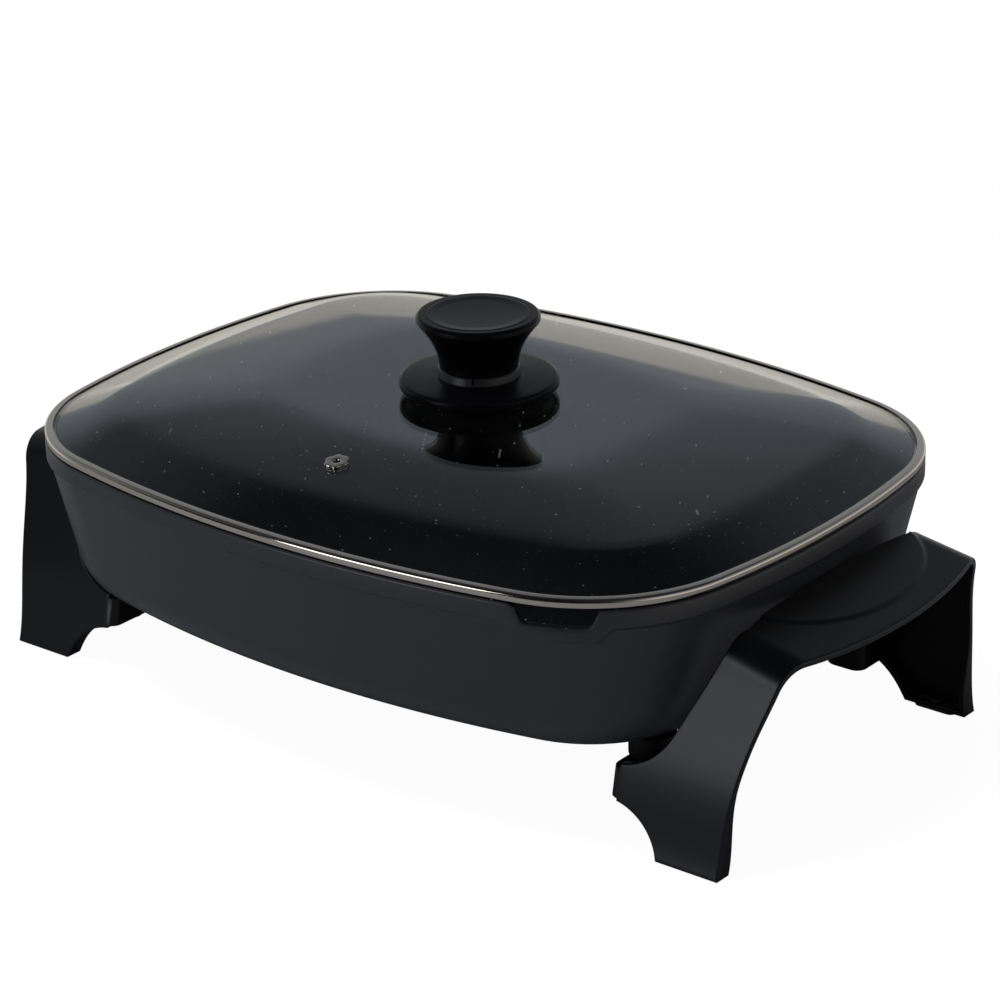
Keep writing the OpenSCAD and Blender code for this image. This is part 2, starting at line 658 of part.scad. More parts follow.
rim_lap = 3.2;                          // how far the rim laps over the glass
function rim_section() =
    let (glass_top = glass_edge_z + glass_t, low = lid_low_z, top = lid_top_z)
    [[0.7, low], [0.1, low + 0.7], [0, low + 1.6], [0, top - 1.6], [0.35, top - 0.6], [1.2, top],
     [rim_lap, top], [rim_lap + 0.3, top - 0.4], [rim_lap, glass_top + 0.1], [1, glass_top + 0.1],
     [1, glass_edge_z - 0.1], [skirt_inset + band_t, glass_edge_z - 0.1],
     [skirt_inset + band_t, low - skirt_drop], [skirt_inset, low - skirt_drop], [skirt_inset, low]];
module lid_rim() color("#b9b2a4")
    skin([for (a = lid_turns) [for (s = rim_section()) [each edge_point(a, s[0]), s[1]]]], false);

vent_lip = 1.4;
module vent_grommet() color("silver") at_vent() rotate_extrude() polygon([
    [vent_bore_d / 2, 0.9], [vent_hole_d / 2 + vent_lip - 0.5, 0.9], [vent_hole_d / 2 + vent_lip, 0.4],
    [vent_hole_d / 2 + vent_lip, 0.1], [vent_hole_d / 2 - slack, 0.1],
    [vent_hole_d / 2 - slack, -glass_t - 0.15], [vent_hole_d / 2 + vent_lip, -glass_t - 0.15],
    [vent_hole_d / 2 + vent_lip - 0.4, -glass_t - 0.8], [vent_bore_d / 2, -glass_t - 0.8]]);

// ---- knob ----
seal_h = 2;
seal_d = 30;
knob_low_z = glass_top_z + seal_h;
disc_t = 4;
knob_top_z = knob_low_z + knob_h;
grip_low_z = knob_low_z + disc_t + collar_h;
cap_d = grip_d - 9;
cap_t = 2;
insert_d = 9;
insert_h = 14;
module knob_seal() color("#333333") translate([0, 0, glass_top_z]) difference() {
    cylinder(d = seal_d, h = seal_h);
    translate([0, 0, -eps]) cylinder(d = knob_hole_d, h = seal_h + 2 * eps);
}
module knob_flange() color("#101012") translate([0, 0, knob_low_z]) rotate_extrude() polygon([
    [knob_screw_d / 2 + 0.3, 0], [flange_d / 2 - 1.5, 0], [flange_d / 2, 0.9], [flange_d / 2, 1.8],
    [flange_d / 2 - 1.6, 2.6], [flange_d / 2 - 4, 2.9], [waist_d / 2 + 4, disc_t - 0.3],
    [waist_d / 2 + 2, disc_t], [knob_screw_d / 2 + 0.3, disc_t]]);
module knob_collar() color("#3a3a3d") translate([0, 0, knob_low_z + disc_t]) difference() {
    rotate_extrude() polygon([[knob_screw_d / 2 + 0.3, 0], [waist_d / 2 + 1, 0],
        [waist_d / 2 + 0.6, collar_h - 0.5], [waist_d / 2, collar_h], [knob_screw_d / 2 + 0.3, collar_h]]);
    rotate([0, 0, -60]) translate([waist_d / 2 - 2, -0.6, 1]) cube([6, 1.2, collar_h]);
}
grip_h = knob_top_z - grip_low_z;
module knob() color("#101012") translate([0, 0, grip_low_z]) difference() {
    rotate_extrude() polygon(concat(
        [[0, 0], [waist_d / 2 - 1, 0], [waist_d / 2, 0.8]],
        [for (k = [0 : 8]) let (t = k / 8)
            [waist_d / 2 + (grip_d - waist_d) / 2 * t ^ 1.8, 1 + (grip_h - 4) * t]],
        [[grip_d / 2, grip_h - 1.9], [grip_d / 2 - 0.8, grip_h - 0.6], [grip_d / 2 - 2.4, grip_h],
         [0, grip_h]]));
    translate([0, 0, grip_h - cap_t]) cylinder(d = cap_d + 0.4, h = cap_t + eps);
    translate([0, 0, -eps]) cylinder(r = insert_d / 2 + fit, h = insert_h + eps + slack);
}
module knob_cap() color("#161618") translate([0, 0, knob_top_z - cap_t]) rotate_extrude() polygon([
    [0, 0], [cap_d / 2, 0], [cap_d / 2, cap_t - 0.3], [cap_d / 2 - 0.8, cap_t],
    [cap_d / 2 - 2.5, cap_t - 0.2], [cap_d / 4, cap_t - 0.8], [0, cap_t - 1]]);
module knob_insert() color("goldenrod") translate([0, 0, grip_low_z]) difference() {
    cylinder(d = insert_d, h = insert_h);
    translate([0, 0, -eps]) cylinder(r = knob_screw_d / 2 + fit, h = insert_h - 1.5, $fn = bore_fn);
}
washer_d = 20;
washer_t = 1;
cup_d = 17;
cup_t = 0.8;
knob_head_h = 3;
module inner_washer() color("#333333") translate([0, 0, crown_z - washer_t]) difference() {
    cylinder(d = washer_d, h = washer_t);
    translate([0, 0, -eps]) cylinder(d = knob_hole_d, h = washer_t + 2 * eps);
}
module screw_cup() color("silver") translate([0, 0, crown_z - washer_t - cup_t]) difference() {
    cylinder(d = cup_d, h = cup_t);
    translate([0, 0, -eps]) cylinder(d = knob_screw_d + 0.6, h = cup_t + 2 * eps);
}
module knob_screw() color("silver") {
    seat_z = crown_z - washer_t - cup_t;
    translate([0, 0, seat_z]) cylinder(d = knob_screw_d, h = grip_low_z + insert_h - 3 - seat_z);
    translate([0, 0, seat_z - knob_head_h]) difference() {
        cylinder(d1 = knob_screw_d + 3.4, d2 = knob_screw_d + 5, h = knob_head_h);
        for (a = [0, 90]) rotate([0, 0, a]) translate([-2.6, -0.6, -eps]) cube([5.2, 1.2, 1.6 + eps]);
    }
}

pan();
heating_element();
terminal_pins();
pin_insulators();
probe_sleeve();
terminal_guard();
guard_screws();
earth_spring();
leg_unit_right();
leg_unit_left();
leg_screws_right();
leg_screws_left();
heat_washers_right();
heat_washers_left();
foot_pads_right();
foot_pads_left();
lid_glass();
lid_rim();
vent_grommet();
knob();
knob_cap();
knob_collar();
knob_flange();
knob_seal();
inner_washer();
screw_cup();
knob_screw();
knob_insert();
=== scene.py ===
"""Electric skillet: the finish and the fine shapes round its solid parts.

Shapes are worked out in millimetres and go into the meshes in metres. +X runs along the pan, away
from the control socket, -Y is the side with the pouring lip, +Z is up and the table is at z = 0.
"""

import bmesh
import bpy
import numpy as np
from mathutils import Matrix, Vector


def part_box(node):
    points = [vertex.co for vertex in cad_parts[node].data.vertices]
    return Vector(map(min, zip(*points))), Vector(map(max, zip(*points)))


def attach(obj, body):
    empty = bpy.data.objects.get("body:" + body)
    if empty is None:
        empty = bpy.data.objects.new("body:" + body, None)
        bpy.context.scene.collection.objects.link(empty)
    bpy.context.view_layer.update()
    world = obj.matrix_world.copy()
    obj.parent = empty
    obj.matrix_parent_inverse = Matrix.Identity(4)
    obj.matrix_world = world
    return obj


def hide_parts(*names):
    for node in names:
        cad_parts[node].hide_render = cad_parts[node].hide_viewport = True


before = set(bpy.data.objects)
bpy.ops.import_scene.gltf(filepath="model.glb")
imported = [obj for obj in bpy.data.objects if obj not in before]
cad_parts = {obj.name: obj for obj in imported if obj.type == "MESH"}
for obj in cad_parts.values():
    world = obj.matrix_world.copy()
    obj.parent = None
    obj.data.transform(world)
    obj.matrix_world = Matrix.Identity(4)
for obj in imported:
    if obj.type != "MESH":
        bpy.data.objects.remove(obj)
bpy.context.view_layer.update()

MM = 0.001
WELD_MM = 0.002


def box_mm(node):
    """Lowest and highest corner of a solid part, in millimetres."""
    return [np.array(corner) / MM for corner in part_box(node)]


def placed(right, up, back, place):
    """Matrix that puts a camera or lamp at a place, with its own axes along these three."""
    rows = np.column_stack([right, up, back, place])
    return Matrix([*rows, (0, 0, 0, 1)])


# ---- camera: a long lens a little above and to the right of the front ----
LENS_MM = 135.29
CAMERA_TURN, CAMERA_RISE, CAMERA_ROLL = np.radians([38.545, 22.67, -0.988])
CAMERA_REACH = 1.90913                       # metres from the camera to the point it is set out from
CAMERA_AIM = np.array([0.0, 0.0, 0.060])
CAMERA_SIDESTEP, CAMERA_STEP_UP = -0.008662, -0.035366


def make_camera():
    """Camera whose axes are back, right and up turned by the roll about the line of sight."""
    flat, high = np.cos(CAMERA_RISE), np.sin(CAMERA_RISE)
    back = np.array([np.sin(CAMERA_TURN) * flat, -np.cos(CAMERA_TURN) * flat, high])
    right = np.array([np.cos(CAMERA_TURN), np.sin(CAMERA_TURN), 0.0])
    up = np.cross(back, right)
    c, s = np.cos(CAMERA_ROLL), np.sin(CAMERA_ROLL)
    right, up = c * right + s * up, c * up - s * right
    place = CAMERA_AIM + CAMERA_REACH * back - CAMERA_SIDESTEP * right - CAMERA_STEP_UP * up
    data = bpy.data.cameras.new("camera")
    data.sensor_width = 36.0
    data.lens = LENS_MM
    data.clip_start, data.clip_end = 0.05, 50.0
    camera = bpy.data.objects.new("camera", data)
    camera.matrix_world = placed(right, up, back, place)
    bpy.context.scene.collection.objects.link(camera)
    bpy.context.scene.camera = camera


# ---- finishes ----
def linear(colour):
    """sRGB hex value to linear RGBA."""
    parts = [int(colour[k:k + 2], 16) / 255 for k in (1, 3, 5)]
    return [c / 12.92 if c <= 0.04045 else ((c + 0.055) / 1.055) ** 2.4 for c in parts] + [1.0]


def add(tree, kind, sockets=None, links=None, **settings):
    """Adds one node with its settings, its socket values and its incoming links."""
    made = tree.nodes.new(kind)
    for name, value in settings.items():
        setattr(made, name, value)
    for name, value in (sockets or {}).items():
        made.inputs[name].default_value = value
    for name, source in (links or {}).items():
        tree.links.new(source, made.inputs[name])
    return made


def finish_of(name, colour, roughness, **sockets):
    """Material with one Principled shader, and its shader and node tree for more links."""
    material = bpy.data.materials.new(name)
    material.use_nodes = True
    tree = material.node_tree
    shader = tree.nodes["Principled BSDF"]
    shader.inputs["Base Color"].default_value = linear(colour)
    shader.inputs["Roughness"].default_value = roughness
    for socket, value in sockets.items():
        shader.inputs[socket.replace("_", " ")].default_value = value
    material.diffuse_color = linear(colour)
    return material, shader, tree


def fine_relief(tree, shader, spacing_mm, depth_mm, strength=1.0):
    """Bump from a noise whose grains are spacing_mm apart and depth_mm deep."""
    place = add(tree, "ShaderNodeTexCoord")
    noise = add(tree, "ShaderNodeTexNoise", {"Scale": 1 / (spacing_mm * MM), "Detail": 2.0},
                {"Vector": place.outputs["Object"]})
    bump = add(tree, "ShaderNodeBump", {"Distance": depth_mm * MM, "Strength": strength},
               {"Height": noise.outputs["Fac"]})
    tree.links.new(bump.outputs["Normal"], shader.inputs["Normal"])


def coated_aluminium():
    """Cast aluminium under a sprayed satin coating: dark grey, a soft sheen, a faint orange peel."""
    material, shader, tree = finish_of("cast_aluminium_satin_coating", "#212225", 0.36,
                                       Specular_IOR_Level=0.5)
    fine_relief(tree, shader, 2.2, 0.012)
    return material


NONSTICK = "#0f1013"
FLECKS = ((4.4, 0.3, "#8a8d91"), (8.6, 0.62, "#d0d2d4"))        # cell and radius in mm, and colour
MIX_A, MIX_B, MIX_RESULT = 6, 7, 2          # the colour sockets of a Mix node


def speckled_nonstick():
    """Stone-look non-stick: dark coat with pale flecks in two sizes. A cut through balls of radius r, one
    in each cell of size c, shows a fleck in every c^3 / (2 r) of area."""
    material, shader, tree = finish_of("speckled_nonstick", NONSTICK, 0.42, Specular_IOR_Level=0.1)
    place = add(tree, "ShaderNodeTexCoord")
    colour = shader.inputs["Base Color"]
    for cell, radius, tint in FLECKS:
        cells = add(tree, "ShaderNodeTexVoronoi", {"Scale": 1 / (cell * MM)},
                    {"Vector": place.outputs["Object"]})
        fleck = add(tree, "ShaderNodeMath", {1: radius / cell}, {0: cells.outputs["Distance"]},
                    operation="LESS_THAN")
        mixed = add(tree, "ShaderNodeMix", data_type="RGBA")
        mixed.inputs[MIX_A].default_value = linear(NONSTICK)
        mixed.inputs[MIX_B].default_value = linear(tint)
        tree.links.new(fleck.outputs[0], mixed.inputs[0])
        if colour.is_linked:
            tree.links.new(colour.links[0].from_socket, mixed.inputs[MIX_A])
        tree.links.new(mixed.outputs[MIX_RESULT], colour)
    return material


def leg_phenolic():
    """Moulded phenolic with a satin face: black, reflections blurred but still readable."""
    material, shader, tree = finish_of("moulded_phenolic_satin", "#040507", 0.33, Specular_IOR_Level=0.4)
    fine_relief(tree, shader, 1.2, 0.004)
    return material


def knob_phenolic():
    """Moulded phenolic, a little smoother than the legs, so that its rounds catch thin highlights."""
    return finish_of("moulded_phenolic_knob", "#050507", 0.27, Specular_IOR_Level=0.14)[0]


def tempered_glass():
    """Clear tempered soda-lime glass, smooth on both faces."""
    return finish_of("tempered_glass", "#f4f8f7", 0.0, Transmission_Weight=1.0, IOR=1.5)[0]


def polished_stainless():
    """Rolled and polished stainless strip: a warm mirror, slightly drawn along the strip."""
    return finish_of("polished_stainless", "#ddd5c8", 0.09, Metallic=1.0)[0]


# ---- shapes as grids of points ----
def unit(vectors):
    return vectors / np.linalg.norm(vectors, axis=-1, keepdims=True)


def smooth(share):
    """0 to 1 along 3t^2 - 2t^3, level at both ends."""
    t = np.clip(share, 0, 1)
    return t * t * (3 - 2 * t)


def rounded(path, radii, cuts=7):
    """Path whose inner corners are arcs. At a corner with unit vectors a and b along its stretches, an
    arc of radius r begins r / tan(half the angle) away, and its centre lies r / sin(half) along a + b."""
    path = np.asarray(path, float)
    corner = path[..., 1:-1, :]
    a, b = unit(path[..., :-2, :] - corner), unit(path[..., 2:, :] - corner)
    half = 0.5 * np.arccos(np.clip((a * b).sum(-1), -1, 1))[..., None]
    r = np.broadcast_to(radii, half.shape[:-1])[..., None]
    centre = corner + unit(a + b) * r / np.sin(half)
    first = (corner + a * r / np.tan(half) - centre)[..., None, :]
    last = (corner + b * r / np.tan(half) - centre)[..., None, :]
    sweep = (np.pi - 2 * half)[..., None, :]
    t = np.linspace(0, 1, cuts)[:, None]
    arcs = (first * np.sin((1 - t) * sweep) + last * np.sin(t * sweep)) / np.sin(sweep)
    arcs = (arcs + centre[..., None, :]).reshape(*path.shape[:-2], -1, path.shape[-1])
    return np.concatenate([path[..., :1, :], arcs, path[..., -1:, :]], -2)


def closed_outline(corners, radii, cuts=7):
    """Closed outline with every corner rounded."""
    corners = np.asarray(corners, float)
    return rounded(np.concatenate([corners[-1:], corners, corners[:1]]), radii, cuts)[1:-1]


def at_height(outline, z):
    """Outline in plan, lifted to height z."""
    return np.concatenate([outline, np.full((len(outline), 1), float(z))], 1)


def pole(ring):
    """A ring drawn together in its own middle, which closes a surface."""
    return np.broadcast_to(ring.mean(0), ring.shape)


def lathe(profile, turns=160):
    """Profile of radius and height turned about +Z: x = r cos t, y = r sin t, z = h."""
    t = np.linspace(0, 2 * np.pi, turns, endpoint=False)[None, :]
    r, h = np.asarray(profile, float)[:, :1], np.asarray(profile, float)[:, 1:]
    return np.stack([r * np.cos(t), r * np.sin(t), h + 0 * t], -1)


def grid_faces(rows, columns, wrap):
    """Four-cornered faces of a grid; a wrapped grid joins its last column to its first."""
    i = np.arange(rows - 1)[:, None]
    j = np.arange(columns if wrap else columns - 1)[None, :]
    after = (j + 1) % columns
    return np.stack([i * columns + j, i * columns + after,
                     (i + 1) * columns + after, (i + 1) * columns + j], -1).reshape(-1, 4)


def piece(name, grids, materials, body, replaces=(), crease=32):
    """Closed mesh from grids of points, each (points, wrapped, material number), joined where they meet."""
    points, faces, numbers, start = [], [], [], 0
    for grid, wrap, number in grids:
        rows, columns = grid.shape[:2]
        made = grid_faces(rows, columns, wrap) + start
        points.append(grid.reshape(-1, 3))
        faces.append(made)
        numbers.append(np.full(len(made), number))
        start += rows * columns
    mesh = bpy.data.meshes.new(name)
    mesh.from_pydata(np.concatenate(points) * MM, [], np.concatenate(faces))
    mesh.polygons.foreach_set("material_index", np.concatenate(numbers))
    for material in materials:
        mesh.materials.append(material)
    work = bmesh.new()
    work.from_mesh(mesh)
    bmesh.ops.remove_doubles(work, verts=work.verts, dist=WELD_MM * MM)
    bmesh.ops.recalc_face_normals(work, faces=work.faces)
    work.to_mesh(mesh)
    work.free()
    mesh.shade_smooth()
    mesh.set_sharp_from_angle(angle=np.radians(crease))
    made = bpy.data.objects.new(name, mesh)
    bpy.context.scene.collection.objects.link(made)
    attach(made, body)
    if replaces:
        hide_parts(*replaces)
    return made


# ---- outline of the pan and the lid: four bowed sides joined by round corners ----
HALF_L, HALF_W, RIM_Z = box_mm("pan")[1]
SIDE_BOW_R, END_BOW_R, CORNER_R = 633.0, 497.0, 86.0
SIDE_C, END_C = HALF_W - SIDE_BOW_R, HALF_L - END_BOW_R


def corner_centre():
    """Centre of the corner's arc: its distances from the bows' centres are their radii less its own."""
    apart = np.hypot(END_C, SIDE_C)
    to_side, to_end = SIDE_BOW_R - CORNER_R, END_BOW_R - CORNER_R
    along = (to_side ** 2 - to_end ** 2 + apart ** 2) / (2 * apart)
    across = np.sqrt(to_side ** 2 - along ** 2)
    return ((along * END_C - across * SIDE_C) / apart,
            SIDE_C + (-along * SIDE_C - across * END_C) / apart)


CORNER_X, CORNER_Y = corner_centre()
END_SWEEP = np.arctan2(CORNER_Y, CORNER_X - END_C)
SIDE_SWEEP = np.arctan2(CORNER_Y - SIDE_C, CORNER_X)


def edge_point(turn, inset):
    """Point where the outline, drawn in by inset, faces the direction turn: the arc's centre plus its
    radius less the inset along that direction."""
    c, s = np.cos(turn), np.sin(turn)
    facing = np.arctan2(np.abs(s), np.abs(c))
    on_end, on_side = facing < END_SWEEP, facing > SIDE_SWEEP
    r = np.select([on_end, on_side], [END_BOW_R, SIDE_BOW_R], CORNER_R) - inset
    cx = np.select([on_end, on_side], [END_C, 0.0], CORNER_X)
    cy = np.select([on_end, on_side], [0.0, SIDE_C], CORNER_Y)
    return np.stack([np.sign(c) * cx + r * c, np.sign(s) * cy + r * s], -1)


def once_round(on_end, on_corner, on_side):
    """Directions once round the outline, with so many steps in each quarter's three stretches."""
    quarter = np.concatenate([np.linspace(0, END_SWEEP, on_end, endpoint=False),
                              np.linspace(END_SWEEP, SIDE_SWEEP, on_corner, endpoint=False),
                              np.linspace(SIDE_SWEEP, np.pi / 2, on_side + 1)])
    half = np.concatenate([quarter[:-1], np.pi - quarter[:0:-1]])
    return np.concatenate([half, half + np.pi])


def round_the_outline(turns, sections):
    """Carries sections of inset and height, one for each direction, round the outline."""
    sections = np.broadcast_to(sections, (len(turns), *np.shape(sections)[-2:]))
    plan = edge_point(turns[:, None], sections[..., 0])
    return np.concatenate([plan, sections[..., 1:]], -1).transpose(1, 0, 2)


# ---- pan ----
BASE_Z, BASE_R, WALL_T = 48.0, 28.0, 4.0
WALL_LEAN = np.radians(12.9)
BAND_H, BAND_STEP, RIDGE_FALL = 9.0, 1.8, 1.6
PAN_ROUNDS = (1.6, 0.9, 1.3, 1.3)           # under the ridge, at the band, at the rim outside and inside
FLAT_SHARES = np.array([0, 0.3, 0.6, 0.85, 1])
LIP_TURN, LIP_W, LIP_FLOOR_W, LIP_D = np.radians(-64.2), 41.5, 26.0, 9.4
LIP_FULLNESS, LIP_SPREAD, BAND_DIP = 0.7, 6.0, 6.8
WALL_TOP_Z = RIM_Z - BAND_H - RIDGE_FALL
BASE_C_Z = BASE_Z + BASE_R
WALL_END_Z = BASE_C_Z - BASE_R * np.sin(WALL_LEAN)


def wall_inset(z):
    """Inset of the wall's outer face at height z: the band's step plus the lean."""
    return BAND_STEP + (WALL_TOP_Z - z) * np.tan(WALL_LEAN)


BASE_INSET = wall_inset(WALL_END_Z) + BASE_R * np.cos(WALL_LEAN)


def base_arc(depth, cuts=14):
    """Rounding from floor to wall, depth inside the outer face, from level to the wall's lean."""
    turn = np.linspace(np.pi / 2, WALL_LEAN, cuts)
    r = BASE_R - depth
    return np.stack([BASE_INSET - r * np.cos(turn), BASE_C_Z - r * np.sin(turn)], -1)


def lip_share(turns, spread):
    """1 over the pouring lip's floor, falling evenly to 0 at half its width plus spread."""
    away = np.linalg.norm(edge_point(turns, 0) - edge_point(LIP_TURN, 0), axis=-1)
    return np.clip((LIP_W / 2 + spread - away) / (LIP_W / 2 - LIP_FLOOR_W / 2), 0, 1)


def pan_grids():
    """Section of floor rounding, wall, ridge, band and rim carried round the outline. Where the lip is,
    the rim sinks by its depth times sin(pi/2 s^fullness), s being the smoothed share, and the ridge
    under the band dips with it. The outer face ends where the rim's outer round does."""
    turns, cuts = once_round(34, 104, 40), 6
    top = RIM_Z - LIP_D * np.sin(np.pi / 2 * smooth(lip_share(turns, 0)) ** LIP_FULLNESS)
    ridge = RIM_Z - BAND_H - BAND_DIP * smooth(lip_share(turns, LIP_SPREAD))
    foot = ridge - RIDGE_FALL
    inner_top = wall_inset(top) + WALL_T / np.cos(WALL_LEAN)
    zero = np.zeros_like(turns)
    low_out, low_in = base_arc(0), base_arc(WALL_T)
    corners = np.stack([np.stack(pair, -1) for pair in (
        (zero + low_out[-1, 0], zero + low_out[-1, 1]), (wall_inset(foot), foot), (zero, ridge),
        (zero, top), (inner_top, top), (zero + low_in[-1, 0], zero + low_in[-1, 1]))], 1)
    bend = rounded(corners, PAN_ROUNDS, cuts)
    low_out = np.broadcast_to(low_out, (len(turns), *low_out.shape))
    low_in = np.broadcast_to(low_in[::-1], (len(turns), *low_in.shape))
    outer = round_the_outline(turns, np.concatenate([low_out, bend[:, 1:-cuts - 1]], 1))
    inner = round_the_outline(turns, np.concatenate([bend[:, -cuts - 2:-1], low_in], 1))
    under = np.stack([outer[0] * [s, s, 1] for s in FLAT_SHARES])
    floor = np.stack([inner[-1] * [s, s, 1] for s in FLAT_SHARES[::-1]])
    return [(np.concatenate([under, outer[1:]]), True, 0), (np.concatenate([inner, floor[1:]]), True, 1)]


# ---- heater under the pan: rail round the element, and the block that holds the control socket ----
SHEATH_R, SHEATH_PROUD, RAIL_W, RAIL_H = 3.5, 0.5, 13.0, 5.0
GROOVE_R, GROOVE_TURN, RAIL_LAND, RAIL_EDGE_R = SHEATH_R + 0.1, np.radians(138), 0.4, 1.4
LOOP_X, LOOP_Y, LOOP_BEND_R, LOOP_END_Y, LOOP_END_X = 133.0, 80.0, 22.0, 12.7, 175.0
TUBE_Z = BASE_Z - RAIL_H + SHEATH_R - SHEATH_PROUD
BLOCK_FACE_X, BLOCK_BACK_X, BLOCK_HALF_W = 202.0, 162.0, 19.0
BLOCK_TOP_Z, BLOCK_LOW_Z, BLOCK_BACK_Z, BLOCK_FLAT = 61.5, 31.5, 39.0, 12.0
BLOCK_STEPS = ((11.0, BLOCK_TOP_Z), (16.5, 55.5), (26.0, 50.7))     # in from its face, and height
BLOCK_ROUNDS = (0.5, 2.5, 4.0, 1.5, 1.5, 0.5, 1.0, 1.0)


def rail_grid():
    """The rail's section, with a groove that the element lies in, carried along its route in plan."""
    x, y, e = LOOP_X, LOOP_Y, LOOP_END_Y
    route = rounded([[-LOOP_END_X, -e], [-x, -e], [-x, -y], [x, -y], [x, y], [-x, y], [-x, e],
                     [-LOOP_END_X, e]], LOOP_BEND_R, 12)
    along = unit(np.gradient(route, axis=0))
    across = np.stack([-along[:, 1], along[:, 0]], -1)
    half, low = RAIL_W / 2, BASE_Z - RAIL_H
    wide = np.linspace(-GROOVE_TURN, GROOVE_TURN, 13)
    groove = np.stack([GROOVE_R * np.sin(wide), TUBE_Z + GROOVE_R * np.cos(wide)], -1)
    side = rounded([[half, BASE_Z + 1], [half, low], [groove[-1, 0] + RAIL_LAND, low]], RAIL_EDGE_R, 5)
    section = np.concatenate([side, groove[::-1], side[::-1] * [-1, 1]])
    rings = (route[:, None] + across[:, None] * section[:, :1])
    rings = np.concatenate([rings, np.broadcast_to(section[:, 1:], (*rings.shape[:2], 1))], -1)
    return np.concatenate([pole(rings[0])[None], rings, pole(rings[-1])[None]])


def block_grid():
    """Side outline of the socket block, with eased corners, across its width. Its upper edge steps down
    inside the pan's wall."""
    corners = [[-BLOCK_BACK_X, BASE_Z + 2], [-BLOCK_BACK_X, BLOCK_BACK_Z],
               [BLOCK_FLAT - BLOCK_FACE_X, BLOCK_LOW_Z], [-BLOCK_FACE_X, BLOCK_LOW_Z],
               [-BLOCK_FACE_X, BLOCK_TOP_Z]]
    corners += [[step - BLOCK_FACE_X, z] for step, z in BLOCK_STEPS]
    side = closed_outline(corners, BLOCK_ROUNDS, 5)
    rings = [np.insert(side, 1, y, axis=1) for y in (-BLOCK_HALF_W, BLOCK_HALF_W)]
    return np.stack([pole(rings[0]), rings[0], rings[1], pole(rings[1])])


# ---- leg and handle unit ----
DECK_X, DECK_ARC_R, DECK_Z = box_mm("leg_unit_right")[1][0], 285.0, 101.0
DECK_SLOPE, LEG_SPLAY = np.radians([11.0, 16.6])
SHELL_T, FOLD_Y, FOLD_R = 2.8, 82.75, 17.0
FOLD_TURN = np.pi / 2 - LEG_SPLAY
LEG_BOW, BOW_MID_Z, BOW_REACH = 3.6, 47.0, 45.0
FOOT_Z = 0.9
FOOT_OUT_X, TIP_X, SWEEP_R, SWEEP_EASE = HALF_L + 14.2, HALF_L - 51.6, 300.0, 0.8
ARCH_R, ARCH_Z, TIP_FLAT, TIP_CUT, TIP_TOP_Z = 31.0, -8.0, 1.0, 5.0, 40.5
HUG_R, HUG_END = 34.0, np.radians(23.5)
HUG_Z = TIP_TOP_Z + HUG_R
FLANGE_W, FLANGE_TOP_W, FLANGE_TOP_Z = 10.5, 3.2, 50.0
DECK_GAP, DECK_EAR = 0.6, 3.6
PLATEAU_MID_X, PLATEAU_MID_Y, PLATEAU_X, PLATEAU_Y = 200.0, 8.0, 41.0, 66.0
PLATEAU_STEP, PLATEAU_EASE, PLATEAU_SKIN, PLATEAU_FADE = 0.8, 1.5, 1.2, 1.0
EDGE_ROUND, FLANGE_ROUND = 0.9, 0.6
CURVE_ROWS, LEG_ROWS, FOLD_ROWS, DECK_ROWS, COLUMNS = 26, 48, 24, 60, 44


def leg_y(z):
    """Outer face of a splayed leg at height z, bowed outwards a little half-way up."""
    bow = np.clip(1 - ((z - BOW_MID_Z) / BOW_REACH) ** 2, 0, 1) ** 2
    return FOLD_Y + (DECK_Z - z) * np.tan(LEG_SPLAY) + LEG_BOW * bow


def deck_height(x):
    """The deck rises towards the pan at its slope."""
    return DECK_Z + (DECK_X - x) * np.tan(DECK_SLOPE)


def fold_middle_y(x):
    """Middle of the round between deck and leg, its radius inside both faces."""
    return FOLD_Y - (FOLD_R + (deck_height(x) - FOLD_R - DECK_Z) * np.sin(LEG_SPLAY)) / np.cos(LEG_SPLAY)


def fold_low_z(x):
    """Height at which the leg's face runs into the round."""
    return deck_height(x) - FOLD_R * (1 - np.sin(LEG_SPLAY))


DECK_IN_X = HALF_L - wall_inset(deck_height(HALF_L)) + DECK_GAP
DECK_HALF_Y = fold_middle_y(DECK_IN_X)


def deck_inner_x(y, inset):
    """The deck's inner edge stands a little off the pan and draws back from it towards the corners."""
    return DECK_IN_X + DECK_EAR * (np.abs(y) / DECK_HALF_Y) ** 4 + inset


def outer_x(y, path, inset):
    """Outer edge: a long sweep by the distance up the leg and on over the round, until it meets the
    deck's arc. The soft minimum of a and b is min(a, b) - k log(1 + exp(-|a - b| / k))."""
    sweep = FOOT_OUT_X + SWEEP_R - np.sqrt((SWEEP_R + inset) ** 2 - (path - FOOT_Z) ** 2)
    arc = DECK_X - DECK_ARC_R + np.sqrt((DECK_ARC_R - inset) ** 2 - y ** 2)
    return np.minimum(sweep, arc) - SWEEP_EASE * np.log1p(np.exp(-np.abs(sweep - arc) / SWEEP_EASE))


